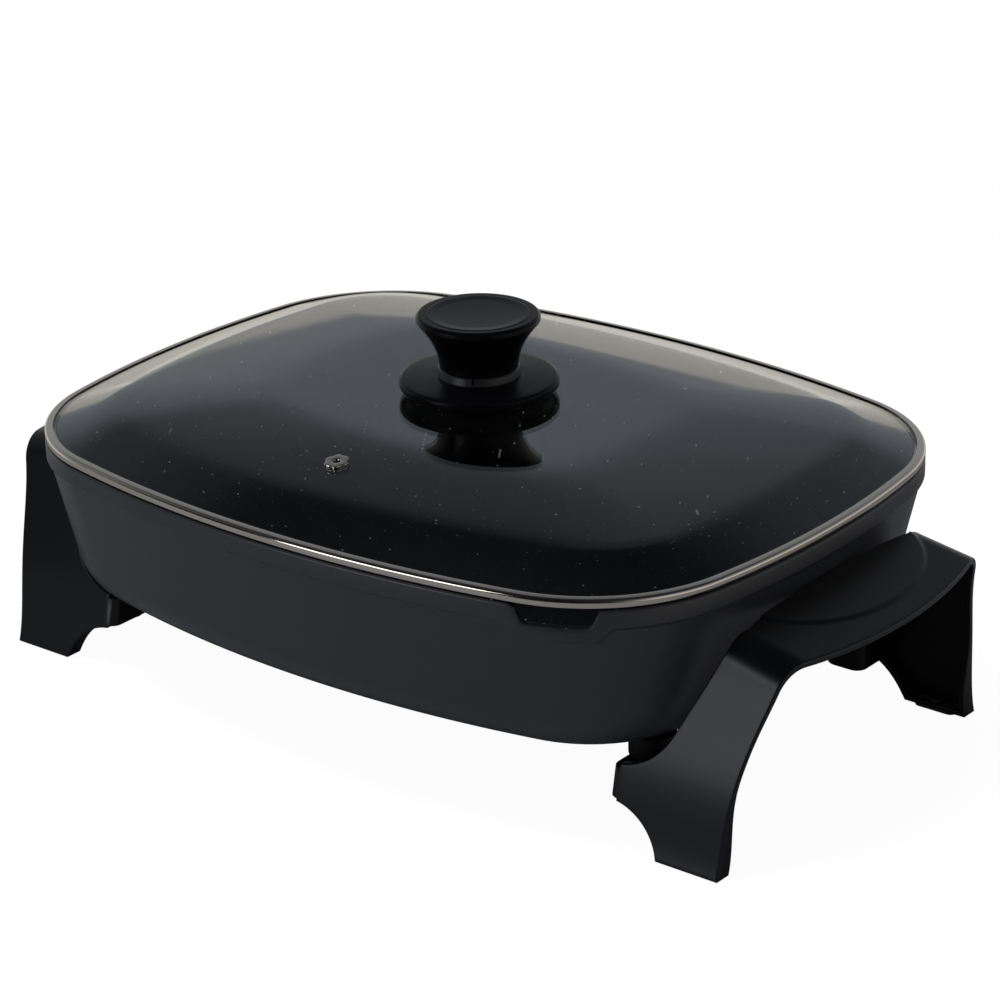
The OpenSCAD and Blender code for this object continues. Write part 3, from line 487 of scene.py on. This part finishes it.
def leg_inner_edge(inset):
    """Inner edge of a leg from its foot up, as x and z: the arch, the tip, the curve that clears the
    pan, and a straight stretch of LEG_ROWS points up to the round. The tip is cut off upright."""
    r, r2 = ARCH_R + inset, HUG_R + inset
    low = np.arcsin((FOOT_Z + inset - ARCH_Z) / r)
    top = np.pi / 2 + np.arcsin((TIP_FLAT - inset) / r)
    a = np.linspace(low, top, CURVE_ROWS)
    arch = np.stack([TIP_X + TIP_FLAT + r * np.cos(a), ARCH_Z + r * np.sin(a)], -1)
    b = np.linspace(-np.pi / 2 + np.arcsin(inset / r2), -HUG_END, CURVE_ROWS)
    hug = np.stack([TIP_X + r2 * np.cos(b), HUG_Z + r2 * np.sin(b)], -1)
    tip = np.linspace(arch[-1], hug[0], 8)[1:-1]
    lean, slope = np.tan(HUG_END), np.tan(DECK_SLOPE)
    top_z = (fold_low_z(hug[-1, 0]) + hug[-1, 1] * lean * slope) / (1 + lean * slope)
    z = np.linspace(hug[-1, 1], top_z, LEG_ROWS + 1)[1:]
    x = hug[-1, 0] + (z - hug[-1, 1]) * lean
    edge = np.concatenate([arch, tip, hug, np.stack([x, z], -1)])
    edge[:, 0] = np.maximum(edge[:, 0], TIP_X + TIP_CUT + inset)
    return edge


def fold_inner_x(start, t, inset):
    """Inner edge over the round, t of the way round it: a cubic that leaves the leg and meets the deck
    along their slopes."""
    length = FOLD_R * FOLD_TURN
    end, rise, run = deck_inner_x(DECK_HALF_Y, inset), np.tan(HUG_END), 4 * DECK_EAR / DECK_HALF_Y
    return ((2 * t ** 3 - 3 * t ** 2 + 1) * start + (t ** 3 - 2 * t ** 2 + t) * length * rise
            + (3 * t ** 2 - 2 * t ** 3) * end + (t ** 3 - t ** 2) * length * run)


def half_unit(inset, to_wall, to_flange, offset):
    """Outer face of one leg, its round and half the deck. Rows run from the inner to the outer edge, both
    drawn in by inset. Every point also gets its lean, and how deep it is to sink: to_wall of the way
    through the wall, to_flange of the way to the flange's free edge, and the offset."""
    # the leg: its outer edge meets the round at x_top, z_top, which settle in a few turns
    x_in, z_in = leg_inner_edge(inset).T
    x_top = FOOT_OUT_X
    for _ in range(4):
        z_top = fold_low_z(x_top)
        x_top = outer_x(leg_y(z_top), z_top, inset)
    climb = np.arange(1, LEG_ROWS + 1) / LEG_ROWS
    z_out, z_from = z_in.copy(), z_in[-LEG_ROWS - 1]
    z_out[-LEG_ROWS:] = z_from + (z_top - z_from) * climb
    v = np.linspace(0, 1, COLUMNS)[None, :]
    x_leg = x_in[:, None] + (outer_x(leg_y(z_out), z_out, inset) - x_in)[:, None] * v
    z_leg = z_in[:, None] + (z_out - z_in)[:, None] * v
    lean = np.zeros(len(x_in))
    lean[-LEG_ROWS:] = LEG_SPLAY * smooth(climb)

    # the round between leg and deck
    share = np.linspace(0, 1, FOLD_ROWS + 1)[1:, None]
    turn = LEG_SPLAY + FOLD_TURN * share
    path = z_top + FOLD_R * FOLD_TURN * share
    x_far = outer_x(fold_middle_y(x_top) + FOLD_R * np.cos(turn), path, inset)
    x_near = fold_inner_x(x_in[-1], share, inset)
    x_fold = x_near + (x_far - x_near) * v
    y_fold = fold_middle_y(x_fold) + FOLD_R * np.cos(turn)
    z_fold = deck_height(x_fold) - FOLD_R * (1 - np.sin(turn))

    # the deck, left of the way to its middle
    left = np.linspace(1, 0, DECK_ROWS + 1)[1:, None]
    path = path[-1] + DECK_HALF_Y * (1 - left)
    x_near = deck_inner_x(DECK_HALF_Y * left, inset)
    x_far = outer_x(fold_middle_y(x_top) * left, path, inset)
    x_deck = x_near + (x_far - x_near) * v
    y_deck, z_deck = fold_middle_y(x_deck) * left, deck_height(x_deck)

    x = np.concatenate([x_leg, x_fold, x_deck])
    y = np.concatenate([leg_y(z_leg), y_fold, y_deck])
    z = np.concatenate([z_leg, z_fold, z_deck])
    lean = np.concatenate([lean, turn[:, 0], np.full(len(left), np.pi / 2)])[:, None]
    wall = SHELL_T / np.cos(np.maximum(LEG_SPLAY - lean, 0))
    flange = FLANGE_W + (FLANGE_TOP_W - FLANGE_W) * smooth((z - FOOT_Z) / (FLANGE_TOP_Z - FOOT_Z))
    return x, y, z, lean, to_wall * wall + to_flange * flange + offset


def sunk(x, y, z, lean, depth):
    """Carries points inwards by their depth; lean is the angle between level and the way out."""
    return np.stack([x, y - depth * np.cos(lean), z - depth * np.sin(lean)], -1)


def plateau(points):
    """Raises the deck's outer face inside an ellipse by a shallow step. What lies deeper than its skin
    stays."""
    x, y, z = points[..., 0], points[..., 1], points[..., 2]
    away = np.hypot((x - PLATEAU_MID_X) / PLATEAU_X, (y - PLATEAU_MID_Y) / PLATEAU_Y)
    level = smooth((z - deck_height(x) + PLATEAU_SKIN) / PLATEAU_FADE)
    rise = PLATEAU_STEP * smooth((1 - away) * PLATEAU_X / PLATEAU_EASE) * level
    return np.stack([x, y, z + rise], -1)


def whole_unit(*section):
    """Both halves, from one foot over the deck to the other, at one point of the edge's section."""
    half = sunk(*half_unit(*section))
    return np.concatenate([half, half[-2::-1] * [1, -1, 1]])


def border(grid):
    """Points once round the edge of a grid."""
    return np.concatenate([grid[0, :-1], grid[:-1, -1], grid[-1, :0:-1], grid[:0:-1, 0]])


def leg_shell_grids():
    """Outer face, edge and inner face. The edge's section, as half_unit takes it, turns round the outer
    face, runs down the flange, round its free edge and back up inside it to the wall."""
    e, f, t = EDGE_ROUND, FLANGE_ROUND, SHELL_T
    quarter = np.linspace(0, np.pi / 2, 5)
    arc = list(zip(1 - np.cos(quarter), 1 - np.sin(quarter)))
    section = [(e * s, 0, 0, e * c) for c, s in arc]
    section += [(f * c, 0, 1, -f * s) for c, s in arc]
    section += [(t - f * s, 0, 1, -f * c) for c, s in arc]
    section += [(t, 1, 0, 0)]
    outer, inner = plateau(whole_unit(*section[0])), whole_unit(*section[-1])
    rim = plateau(np.stack([border(whole_unit(*step)) for step in section]))
    return [(outer, False, 0), (rim, True, 0), (inner, False, 0)]


SHELF_Z, SHELF_LOW_Z, SHELF_L, SHELF_R, SHELF_PLATE = 39.0, 24.0, 22.0, 6.0, 3.4
POST_R, POST_BORE_R, POST_DROP = 6.0, 4.3, 2.5
SCREW_LOW, SCREW_HIGH = box_mm("leg_screws_right")
SCREW_X = (SCREW_LOW[0] + SCREW_HIGH[0]) / 2
SCREW_Y = SCREW_HIGH[1] - (SCREW_HIGH[0] - SCREW_LOW[0]) / 2
SHELF_IN, SHELF_FLUSH, SHELF_TUCK, SHELF_EDGE_R = 10.5, 9.0, 1.4, 0.2


def shelf_outline(inset, z):
    """Shelf in plan at height z. Its corner at the leg's tip is round and its first stretch is flush with
    the leg's face, but for a hair that keeps its end a corner; then it tucks in."""
    x1, x2 = TIP_X + inset, TIP_X + SHELF_L - inset
    y1, y2 = SCREW_Y - SHELF_IN + inset, leg_y(z) - inset
    r = max(SHELF_R - inset, 1)
    corners = [[x1, y1], [x2, y1], [x2, y2 - SHELF_TUCK], [x1 + SHELF_FLUSH, y2 - 0.02], [x1, y2]]
    return at_height(closed_outline(corners, [r, r, SHELF_EDGE_R, SHELF_EDGE_R, r], 8), z)


def shelf_grids():
    """Hollow shelf under a boss of the pan, from its roof inside round the low edge to its top, and the
    post round its screw. Edges are eased by 0.3 to 0.5 mm."""
    roof = SHELF_Z - SHELF_PLATE
    steps = [(SHELL_T, roof), (SHELL_T, SHELF_LOW_Z + 0.3), (SHELL_T - 0.4, SHELF_LOW_Z),
             (0.4, SHELF_LOW_Z), (0, SHELF_LOW_Z + 0.4), (0, SHELF_Z - 0.5), (0.5, SHELF_Z)]
    rings = [shelf_outline(*step) for step in steps]
    rings = [pole(rings[0])] + rings + [pole(rings[-1])]
    low, high = SHELF_LOW_Z - POST_DROP, roof + 0.2
    post = lathe(closed_outline([[POST_BORE_R, low], [POST_R, low], [POST_R, high], [POST_BORE_R, high]],
                                0.4, 4), 48) + [SCREW_X, SCREW_Y, 0]
    post = np.concatenate([post, post[:1]])
    return [(np.stack(rings), True, 0), (post, True, 0)]


WASHER_T = 1.5
BOSS_R, BOSS_LOW_Z, BOSS_TOP_Z, BOSS_EDGE_R = 11.5, SHELF_Z + WASHER_T, 52.0, 0.6


def boss_grid(side_x, side_y):
    """Round boss of the pan over a shelf, whose top ends inside the pan's floor."""
    profile = rounded([[0, BOSS_LOW_Z], [BOSS_R, BOSS_LOW_Z], [BOSS_R, BOSS_TOP_Z], [0, BOSS_TOP_Z]],
                      BOSS_EDGE_R, 4)
    return lathe(profile, 40) + [side_x * SCREW_X, side_y * SCREW_Y, 0]


def leg_unit(side, sign, material):
    """Shell and both shelves of one unit; sign -1 turns the right-hand one to the other end."""
    grids = leg_shell_grids()
    for across in (1, -1):
        grids += [(grid * [1, across, 1], wrap, number) for grid, wrap, number in shelf_grids()]
    grids = [(grid * [sign, 1, 1], wrap, number) for grid, wrap, number in grids]
    return piece(f"leg_shell_{side}", grids, [material], "base",
                 [f"leg_unit_{side}"], crease=40)


# ---- lid ----
LID_RIM_H = 5.7
LID_LOW_Z = box_mm("lid_rim")[1][2] - LID_RIM_H
STRIP_T, GLASS_IN, GLASS_T, GLASS_GAP = 0.8, 1.1, 4.0, 0.1
LAP, LAP_T, LAP_FALL = 4.2, 0.35, 0.4
SKIRT_DROP, SKIRT_IN = 1.6, 5.4
SHOULDER_W, SHOULDER_RISE, CROWN_RISE, SHOULDER_FLAT = 35.0, 11.0, 13.5, 5.0
GLASS_EDGE_Z = LID_LOW_Z + STRIP_T + GLASS_GAP
SHOULDER_Z = GLASS_EDGE_Z + SHOULDER_RISE
CREASE_EASE, KNOB_HOLE_R, SEAT_SHARE = 0.45, 3.5, 0.12
OUTER_PART, PAST_SHOULDER = 52.0, 60.0      # width of the part drawn in from the edge; any inset beyond it
RIM_ROUNDS = (2.0, 1.7, 0.15, 0.1, 0.2, 0.2, 0.4, 0.3, 0.3, 0.8)


def crown_height(plan):
    """Underside of the crown: it falls with the square of the share of the way out to the shoulder, and is
    level over the knob's seat."""
    ring = edge_point(once_round(60, 120, 80), SHOULDER_W)
    reach = np.interp(np.arctan2(plan[..., 1], plan[..., 0]), np.arctan2(ring[:, 1], ring[:, 0]),
                      np.linalg.norm(ring, axis=-1), period=2 * np.pi)
    share = np.maximum(np.linalg.norm(plan, axis=-1) / reach, SEAT_SHARE)
    return SHOULDER_Z + CROWN_RISE * (1 - share ** 2)


def glass_grid():
    """The dome's underside and top: a straight shoulder and a parabolic crown, joined by a soft
    minimum -k log(exp(-a/k) + exp(-b/k)), with a hole for the knob and a round outer edge."""
    turns = once_round(22, 40, 24)
    inset = np.concatenate([[GLASS_IN, 1.6, 2.6, 3.8], np.linspace(SHOULDER_FLAT, OUTER_PART, 48)])
    outer_part = edge_point(turns[None, :], inset[:, None])
    last = outer_part[-1]
    share = np.linspace(1, 0, 30)[1:-1, None, None]
    hole = KNOB_HOLE_R * unit(last)
    crown_part = hole + (last - hole) * share
    plan = np.concatenate([outer_part, crown_part, hole[None]])
    crown = crown_height(plan)
    drawn_in = np.concatenate([inset, np.full(len(plan) - len(inset), PAST_SHOULDER)])[:, None]
    shoulder = SHOULDER_Z + SHOULDER_RISE * (drawn_in - SHOULDER_W) / (SHOULDER_W - SHOULDER_FLAT)
    shoulder = np.maximum(shoulder, GLASS_EDGE_Z)
    k = CREASE_EASE
    low = np.minimum(shoulder, crown) - k * np.log1p(np.exp(-np.abs(shoulder - crown) / k))
    low = np.maximum(low, GLASS_EDGE_Z)
    under = np.concatenate([plan, low[..., None]], -1)
    top = under + [0, 0, GLASS_T]
    edge_in = np.array([0.5, 0.15, 0.0, 0.15, 0.5])[:, None]
    edge_z = GLASS_EDGE_Z + GLASS_T * np.array([0, 0.1, 0.5, 0.9, 1])[:, None] + 0 * turns[None]
    side = np.concatenate([edge_point(turns[None, :], GLASS_IN + edge_in), edge_z[..., None]], -1)
    grid = np.concatenate([under[:0:-1], side, top[1:]])
    return np.concatenate([grid, grid[:1]])


def rim_grid():
    """Folded steel strip: a rounded outer face, a thin lap on the glass that falls outwards, a ledge
    under the glass and a short skirt that hangs inside the pan."""
    over, under = GLASS_EDGE_Z + GLASS_T + GLASS_GAP, GLASS_EDGE_Z - GLASS_GAP
    skirt_z, inside = LID_LOW_Z - SKIRT_DROP, GLASS_IN - GLASS_GAP
    section = closed_outline(
        [[0, LID_LOW_Z], [0, over + LAP_T - LAP_FALL], [LAP, over + LAP_T], [LAP, over],
         [inside, over], [inside, under], [SKIRT_IN + STRIP_T, under], [SKIRT_IN + STRIP_T, skirt_z],
         [SKIRT_IN, skirt_z], [SKIRT_IN, LID_LOW_Z]], RIM_ROUNDS, 9)
    turns = once_round(30, 60, 36)
    grid = round_the_outline(turns, section)
    return np.concatenate([grid, grid[:1]])


VENT_X, VENT_Y = -4.0, -105.0
VENT_BORE_R, VENT_HOLE_R, VENT_TOP_R, VENT_LOW_R = 1.8, 3.85, 5.9, 5.4
VENT_TOP_Z, SEAT_TOP_Z = 1.0, 0.05          # over the top of the glass
VENT_LOW_Z, SEAT_LOW_Z = -GLASS_T - 0.9, -GLASS_T - 0.1
VENT_ROUNDS = (0.4, 0.7, 0.4, 0.1, 0.1, 0.1, 0.3, 0.3)
VENT_LOBES, LOBE_SHARE = 6, 0.07


def grommet_grid():
    """Rolled tube through the glass, its two flanges pressed to soft lobes, square to the dome."""
    half_w = HALF_W - SHOULDER_W
    tilt = np.arctan(2 * CROWN_RISE * (-VENT_Y / half_w) / half_w)
    top_z = crown_height(np.array([VENT_X, VENT_Y])) + GLASS_T
    profile = closed_outline(
        [[VENT_BORE_R, VENT_LOW_Z], [VENT_BORE_R, VENT_TOP_Z], [VENT_TOP_R, VENT_TOP_Z],
         [VENT_TOP_R, SEAT_TOP_Z], [VENT_HOLE_R, SEAT_TOP_Z], [VENT_HOLE_R, SEAT_LOW_Z],
         [VENT_LOW_R, SEAT_LOW_Z], [VENT_LOW_R, VENT_LOW_Z]], VENT_ROUNDS, 6)
    grid = lathe(profile, 96)
    turn = np.arctan2(grid[..., 1], grid[..., 0])
    r = np.hypot(grid[..., 0], grid[..., 1])
    lobes = 1 + LOBE_SHARE * np.cos(VENT_LOBES * turn) * smooth((r - VENT_HOLE_R) / 2)
    x, y, z = grid[..., 0] * lobes, grid[..., 1] * lobes, grid[..., 2]
    c, s = np.cos(tilt), np.sin(tilt)
    grid = np.stack([x + VENT_X, y * c - z * s + VENT_Y, y * s + z * c + top_z], -1)
    return np.concatenate([grid, grid[:1]])


# ---- knob ----
KNOB_LOW, KNOB_HIGH = box_mm("knob")
DISC_LOW, DISC_HIGH = box_mm("knob_flange")
GRIP_R, WAIST_R, DISC_R = KNOB_HIGH[0], 39.5 / 2, DISC_HIGH[0]
GRIP_LOW_Z, GRIP_TOP_Z, DISC_Z = KNOB_LOW[2], KNOB_HIGH[2], DISC_LOW[2]
CAP_R, CAP_SINK, CAP_GAP, DISC_T, DISC_DROP = GRIP_R - 4.5, 2.0, 0.2, 4.0, 2.0
FLARE_POWER, FLARE_LOW, FLARE_END = 1.8, 1.0, 3.2       # start above the foot, end below the top


def disc_grid():
    """Wide disc: its edge is turned down close to the glass, its top slopes up to the collar."""
    profile = rounded([[0, 0], [DISC_R - 6, 0], [DISC_R - 3.5, -DISC_DROP], [DISC_R, -DISC_DROP],
                       [DISC_R, 1.7], [DISC_R - 1.6, 2.6], [DISC_R - 4, 2.9], [WAIST_R + 3, DISC_T],
                       [0, DISC_T]], [1.5, 0.6, 1.1, 0.8, 1.2, 1.5, 2.5], 8)
    return lathe(profile + [0, DISC_Z])


def grip_grid():
    """Grip: from waist w it flares to radius w + (r - w) t^p at the share t of its height, up to a full
    round edge; the top is cut for the cap."""
    h = GRIP_TOP_Z - GRIP_LOW_Z
    t = np.linspace(0, 1, 30)
    flare = np.stack([WAIST_R + (GRIP_R - WAIST_R) * t ** FLARE_POWER,
                      FLARE_LOW + (h - FLARE_LOW - FLARE_END) * t], -1)
    edge = rounded([flare[-1], [GRIP_R + 0.15, h - 1.6], [GRIP_R - 1.2, h], [CAP_R, h]], [1.6, 1.8], 9)
    edge[:, 0] = np.minimum(edge[:, 0], GRIP_R)
    start = rounded([[0, 0], [WAIST_R, 0], flare[1]], 0.6, 5)
    wall_r, floor_z = CAP_R + CAP_GAP, h - CAP_SINK
    well = rounded([edge[-1], [wall_r, h - 0.05], [wall_r, floor_z], [0, floor_z]], [0.1, 0.1], 3)
    return lathe(np.concatenate([start, flare[2:-1], edge, well[1:]]) + [0, GRIP_LOW_Z])


def cap_grid():
    """Cap let into the grip: a fine groove round it, a raised edge and a shallow dish."""
    profile = rounded([[0, -CAP_SINK], [CAP_R, -CAP_SINK], [CAP_R, -0.1], [CAP_R - 1.4, 0.1],
                       [CAP_R - 6, -0.35], [0, -1.1]], [0.1, 0.35, 1.5, 12], 8)
    return lathe(profile + [0, GRIP_TOP_Z])


# ---- floor, world and lamps ----
def straight_view(tree, path):
    """1 for what the camera sees directly or through glass alone, 0 after any bounce off a surface."""
    through = add(tree, "ShaderNodeMath", None, {0: path.outputs["Is Camera Ray"],
                                                 1: path.outputs["Is Transmission Ray"]},
                  operation="MAXIMUM")
    bounces = add(tree, "ShaderNodeMath", None, {0: path.outputs["Glossy Depth"],
                                                 1: path.outputs["Diffuse Depth"]}, operation="ADD")
    none = add(tree, "ShaderNodeMath", {1: 0.5}, {0: bounces.outputs[0]}, operation="LESS_THAN")
    return add(tree, "ShaderNodeMath", None, {0: through.outputs[0], 1: none.outputs[0]},
               operation="MULTIPLY").outputs[0]


def seen_in_gloss(tree, path):
    """1 for what a shiny surface shows, also when the glass lies between."""
    glossy = add(tree, "ShaderNodeMath", {1: 0.5}, {0: path.outputs["Glossy Depth"]},
                 operation="GREATER_THAN")
    return add(tree, "ShaderNodeMath", None, {0: glossy.outputs[0], 1: path.outputs["Is Diffuse Ray"]},
               operation="SUBTRACT", use_clamp=True).outputs[0]


def mix_shaders(tree, share, first, second):
    mixed = add(tree, "ShaderNodeMixShader", None, {"Fac": share})
    tree.links.new(first.outputs[0], mixed.inputs[1])
    tree.links.new(second.outputs[0], mixed.inputs[2])
    return mixed


WHITE = (1, 1, 1, 1)
FLOOR_REACH = 0.6
PAPER_SHARE, PAPER_WHITE = 0.9, 1.06        # how much of the paper shines by itself, and how strongly


def make_floor():
    """Matt table. Seen directly or through glass it is white paper that keeps the soft shadow; shiny
    surfaces show it as a grey board, as such a table looks beside the lamps."""
    material = bpy.data.materials.new("matt_paper_sweep")
    material.use_nodes = True
    tree = material.node_tree
    tree.nodes.clear()
    path = add(tree, "ShaderNodeLightPath")
    share = add(tree, "ShaderNodeMath", {1: PAPER_SHARE}, {0: straight_view(tree, path)},
                operation="MULTIPLY")
    paper = add(tree, "ShaderNodeBsdfDiffuse", {"Color": linear("#f2f2f2")})
    board = add(tree, "ShaderNodeBsdfDiffuse", {"Color": linear("#848589")})
    white = add(tree, "ShaderNodeEmission", {"Color": WHITE, "Strength": PAPER_WHITE})
    lit = mix_shaders(tree, seen_in_gloss(tree, path), paper, board)
    both = mix_shaders(tree, share.outputs[0], lit, white)
    out = add(tree, "ShaderNodeOutputMaterial")
    tree.links.new(both.outputs[0], out.inputs["Surface"])
    r = FLOOR_REACH
    mesh = bpy.data.meshes.new("floor")
    mesh.from_pydata([(-r, -r, 0), (r, -r, 0), (r, r, 0), (-r, r, 0)], [], [(0, 1, 2, 3)])
    mesh.materials.append(material)
    floor = bpy.data.objects.new("floor", mesh)
    bpy.context.scene.collection.objects.link(floor)


WORLD_PLAIN = 0.45
GLOSS_BY_HEIGHT = ((0.0, "#cecac2"), (0.15, "#c8c5bf"), (0.17, "#96999e"), (0.26, "#92979d"),
                   (0.38, "#8f949b"), (0.48, "#80848b"), (0.56, "#6c6f76"), (0.64, "#606369"),
                   (0.72, "#34373c"), (1.0, "#1d1f23"))
ROOM_FADE = (-0.7, -0.1, 0.03, 1.0)         # from and to along Y; strength at each


def make_world():
    """White to the camera; plain light for matt surfaces; in reflections a bright band round the horizon
    that fades to a dark ceiling and to a dark room on the camera's side."""
    world = bpy.data.worlds.new("studio")
    bpy.context.scene.world = world
    world.use_nodes = True
    tree = world.node_tree
    tree.nodes.clear()
    place = add(tree, "ShaderNodeTexCoord")
    parts = add(tree, "ShaderNodeSeparateXYZ", None, {"Vector": place.outputs["Generated"]})
    ramp = add(tree, "ShaderNodeValToRGB", None, {"Fac": parts.outputs["Z"]})
    points = ramp.color_ramp.elements
    while len(points) < len(GLOSS_BY_HEIGHT):
        points.new(0.5)
    for point, (height, colour) in zip(points, GLOSS_BY_HEIGHT):
        point.position = height
        point.color = linear(colour)
    fade = dict(zip(("From Min", "From Max", "To Min", "To Max"), ROOM_FADE))
    depth = add(tree, "ShaderNodeMapRange", fade, {"Value": parts.outputs["Y"]},
                interpolation_type="SMOOTHSTEP")
    path = add(tree, "ShaderNodeLightPath")
    plain = add(tree, "ShaderNodeBackground", {"Color": WHITE, "Strength": WORLD_PLAIN})
    gloss = add(tree, "ShaderNodeBackground", None, {"Color": ramp.outputs["Color"],
                                                     "Strength": depth.outputs["Result"]})
    white = add(tree, "ShaderNodeBackground", {"Color": WHITE, "Strength": 1.0})
    lit = mix_shaders(tree, seen_in_gloss(tree, path), plain, gloss)
    both = mix_shaders(tree, straight_view(tree, path), lit, white)
    out = add(tree, "ShaderNodeOutputWorld")
    tree.links.new(both.outputs[0], out.inputs["Surface"])


LAMP_TINT = linear("#f2f4fa")[:3]


def softbox(name, place, aim, size, power, in_gloss):
    """Square area lamp at a place in metres, turned to its aim. in_gloss says whether shiny surfaces and
    glass show it."""
    data = bpy.data.lights.new(name, "AREA")
    data.shape = "SQUARE"
    data.size = size
    data.energy = power
    data.color = LAMP_TINT
    lamp = bpy.data.objects.new(name, data)
    back = unit(np.subtract(place, aim))
    right = unit(np.cross([0, 0, 1.0], back))
    lamp.matrix_world = placed(right, np.cross(back, right), back, place)
    lamp.visible_glossy = in_gloss
    lamp.visible_transmission = in_gloss
    bpy.context.scene.collection.objects.link(lamp)


make_camera()
make_world()
make_floor()
softbox("high_softbox", (-0.5, -0.7, 2.1), (0, 0, 0.1), size=0.9, power=30, in_gloss=False)
softbox("low_softbox", (-0.34, -1.05, 0.29), (0.2, -0.1, 0.12), size=0.5, power=2.1, in_gloss=True)

COATED, SPECKLED = coated_aluminium(), speckled_nonstick()
LEG_BLACK, KNOB_BLACK = leg_phenolic(), knob_phenolic()
GLASS, STEEL = tempered_glass(), polished_stainless()
# Near-black finish for the pan's bosses. They are cast and coated with the pan, so this black is painted
# shade for the shade they sit in under the pan, not a separate spacer.
BOSS_PAINTED_SHADE = finish_of("pan_boss_painted_shade_black", "#060607", 0.5, Specular_IOR_Level=0.15)[0]

pan_parts = pan_grids() + [(rail_grid(), True, 0), (block_grid(), True, 0)]
# the bosses take the third finish: black painted shade over what is really the pan's coating
pan_parts += [(boss_grid(side_x, side_y), True, 2) for side_x in (1, -1) for side_y in (1, -1)]
piece("pan_body", pan_parts, [COATED, SPECKLED, BOSS_PAINTED_SHADE], "base", ["pan"])
leg_unit("right", 1, LEG_BLACK)
leg_unit("left", -1, LEG_BLACK)
piece("glass_dome", [(glass_grid(), True, 0)], [GLASS], "lid", ["lid_glass"])
piece("rolled_rim", [(rim_grid(), True, 0)], [STEEL], "lid", ["lid_rim"])
piece("vent_eyelet", [(grommet_grid(), True, 0)], [STEEL], "lid", ["vent_grommet"])
piece("knob_disc", [(disc_grid(), True, 0)], [KNOB_BLACK], "lid", ["knob_flange"])
piece("knob_grip", [(grip_grid(), True, 0)], [KNOB_BLACK], "lid", ["knob"])
piece("knob_top", [(cap_grid(), True, 0)], [KNOB_BLACK], "lid", ["knob_cap"])

# finish, colour, roughness and share of metal of the solid parts that keep their own shape
KEPT_PARTS = (
    ("drawn_steel_sheath_heat_dark", "#5c5a57", 0.42, 1.0, ["heating_element"]),
    ("nickel_plated_pin", "#bdbab4", 0.22, 1.0, ["terminal_pins"]),
    ("nickel_plated_tube", "#b4b1ab", 0.28, 1.0, ["probe_sleeve"]),
    ("unglazed_steatite", "#d8cfbf", 0.75, 0.0, ["pin_insulators"]),
    ("moulded_phenolic_matt", "#101012", 0.5, 0.0, ["terminal_guard"]),
    ("zinc_plated_steel", "#aeb0b2", 0.3, 1.0,
     ["guard_screws", "earth_spring", "leg_screws_right", "leg_screws_left", "screw_cup", "knob_screw"]),
    ("pressed_mineral_fibre", "#2c2824", 0.9, 0.0, ["heat_washers_right", "heat_washers_left"]),
    ("matt_silicone", "#17171a", 0.7, 0.0,
     ["foot_pads_right", "foot_pads_left", "knob_seal", "inner_washer"]),
    ("moulded_grey_nylon", "#1e1f22", 0.35, 0.0, ["knob_collar"]),
    ("turned_brass", "#b08a45", 0.3, 1.0, ["knob_insert"]),
)
for name, colour, roughness, metal, nodes in KEPT_PARTS:
    kept_finish = finish_of(name, colour, roughness, Metallic=metal)[0]
    for node in nodes:
        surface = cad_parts[node].data
        surface.materials.clear()
        surface.materials.append(kept_finish)

bpy.context.scene.view_settings.view_transform = "Standard"
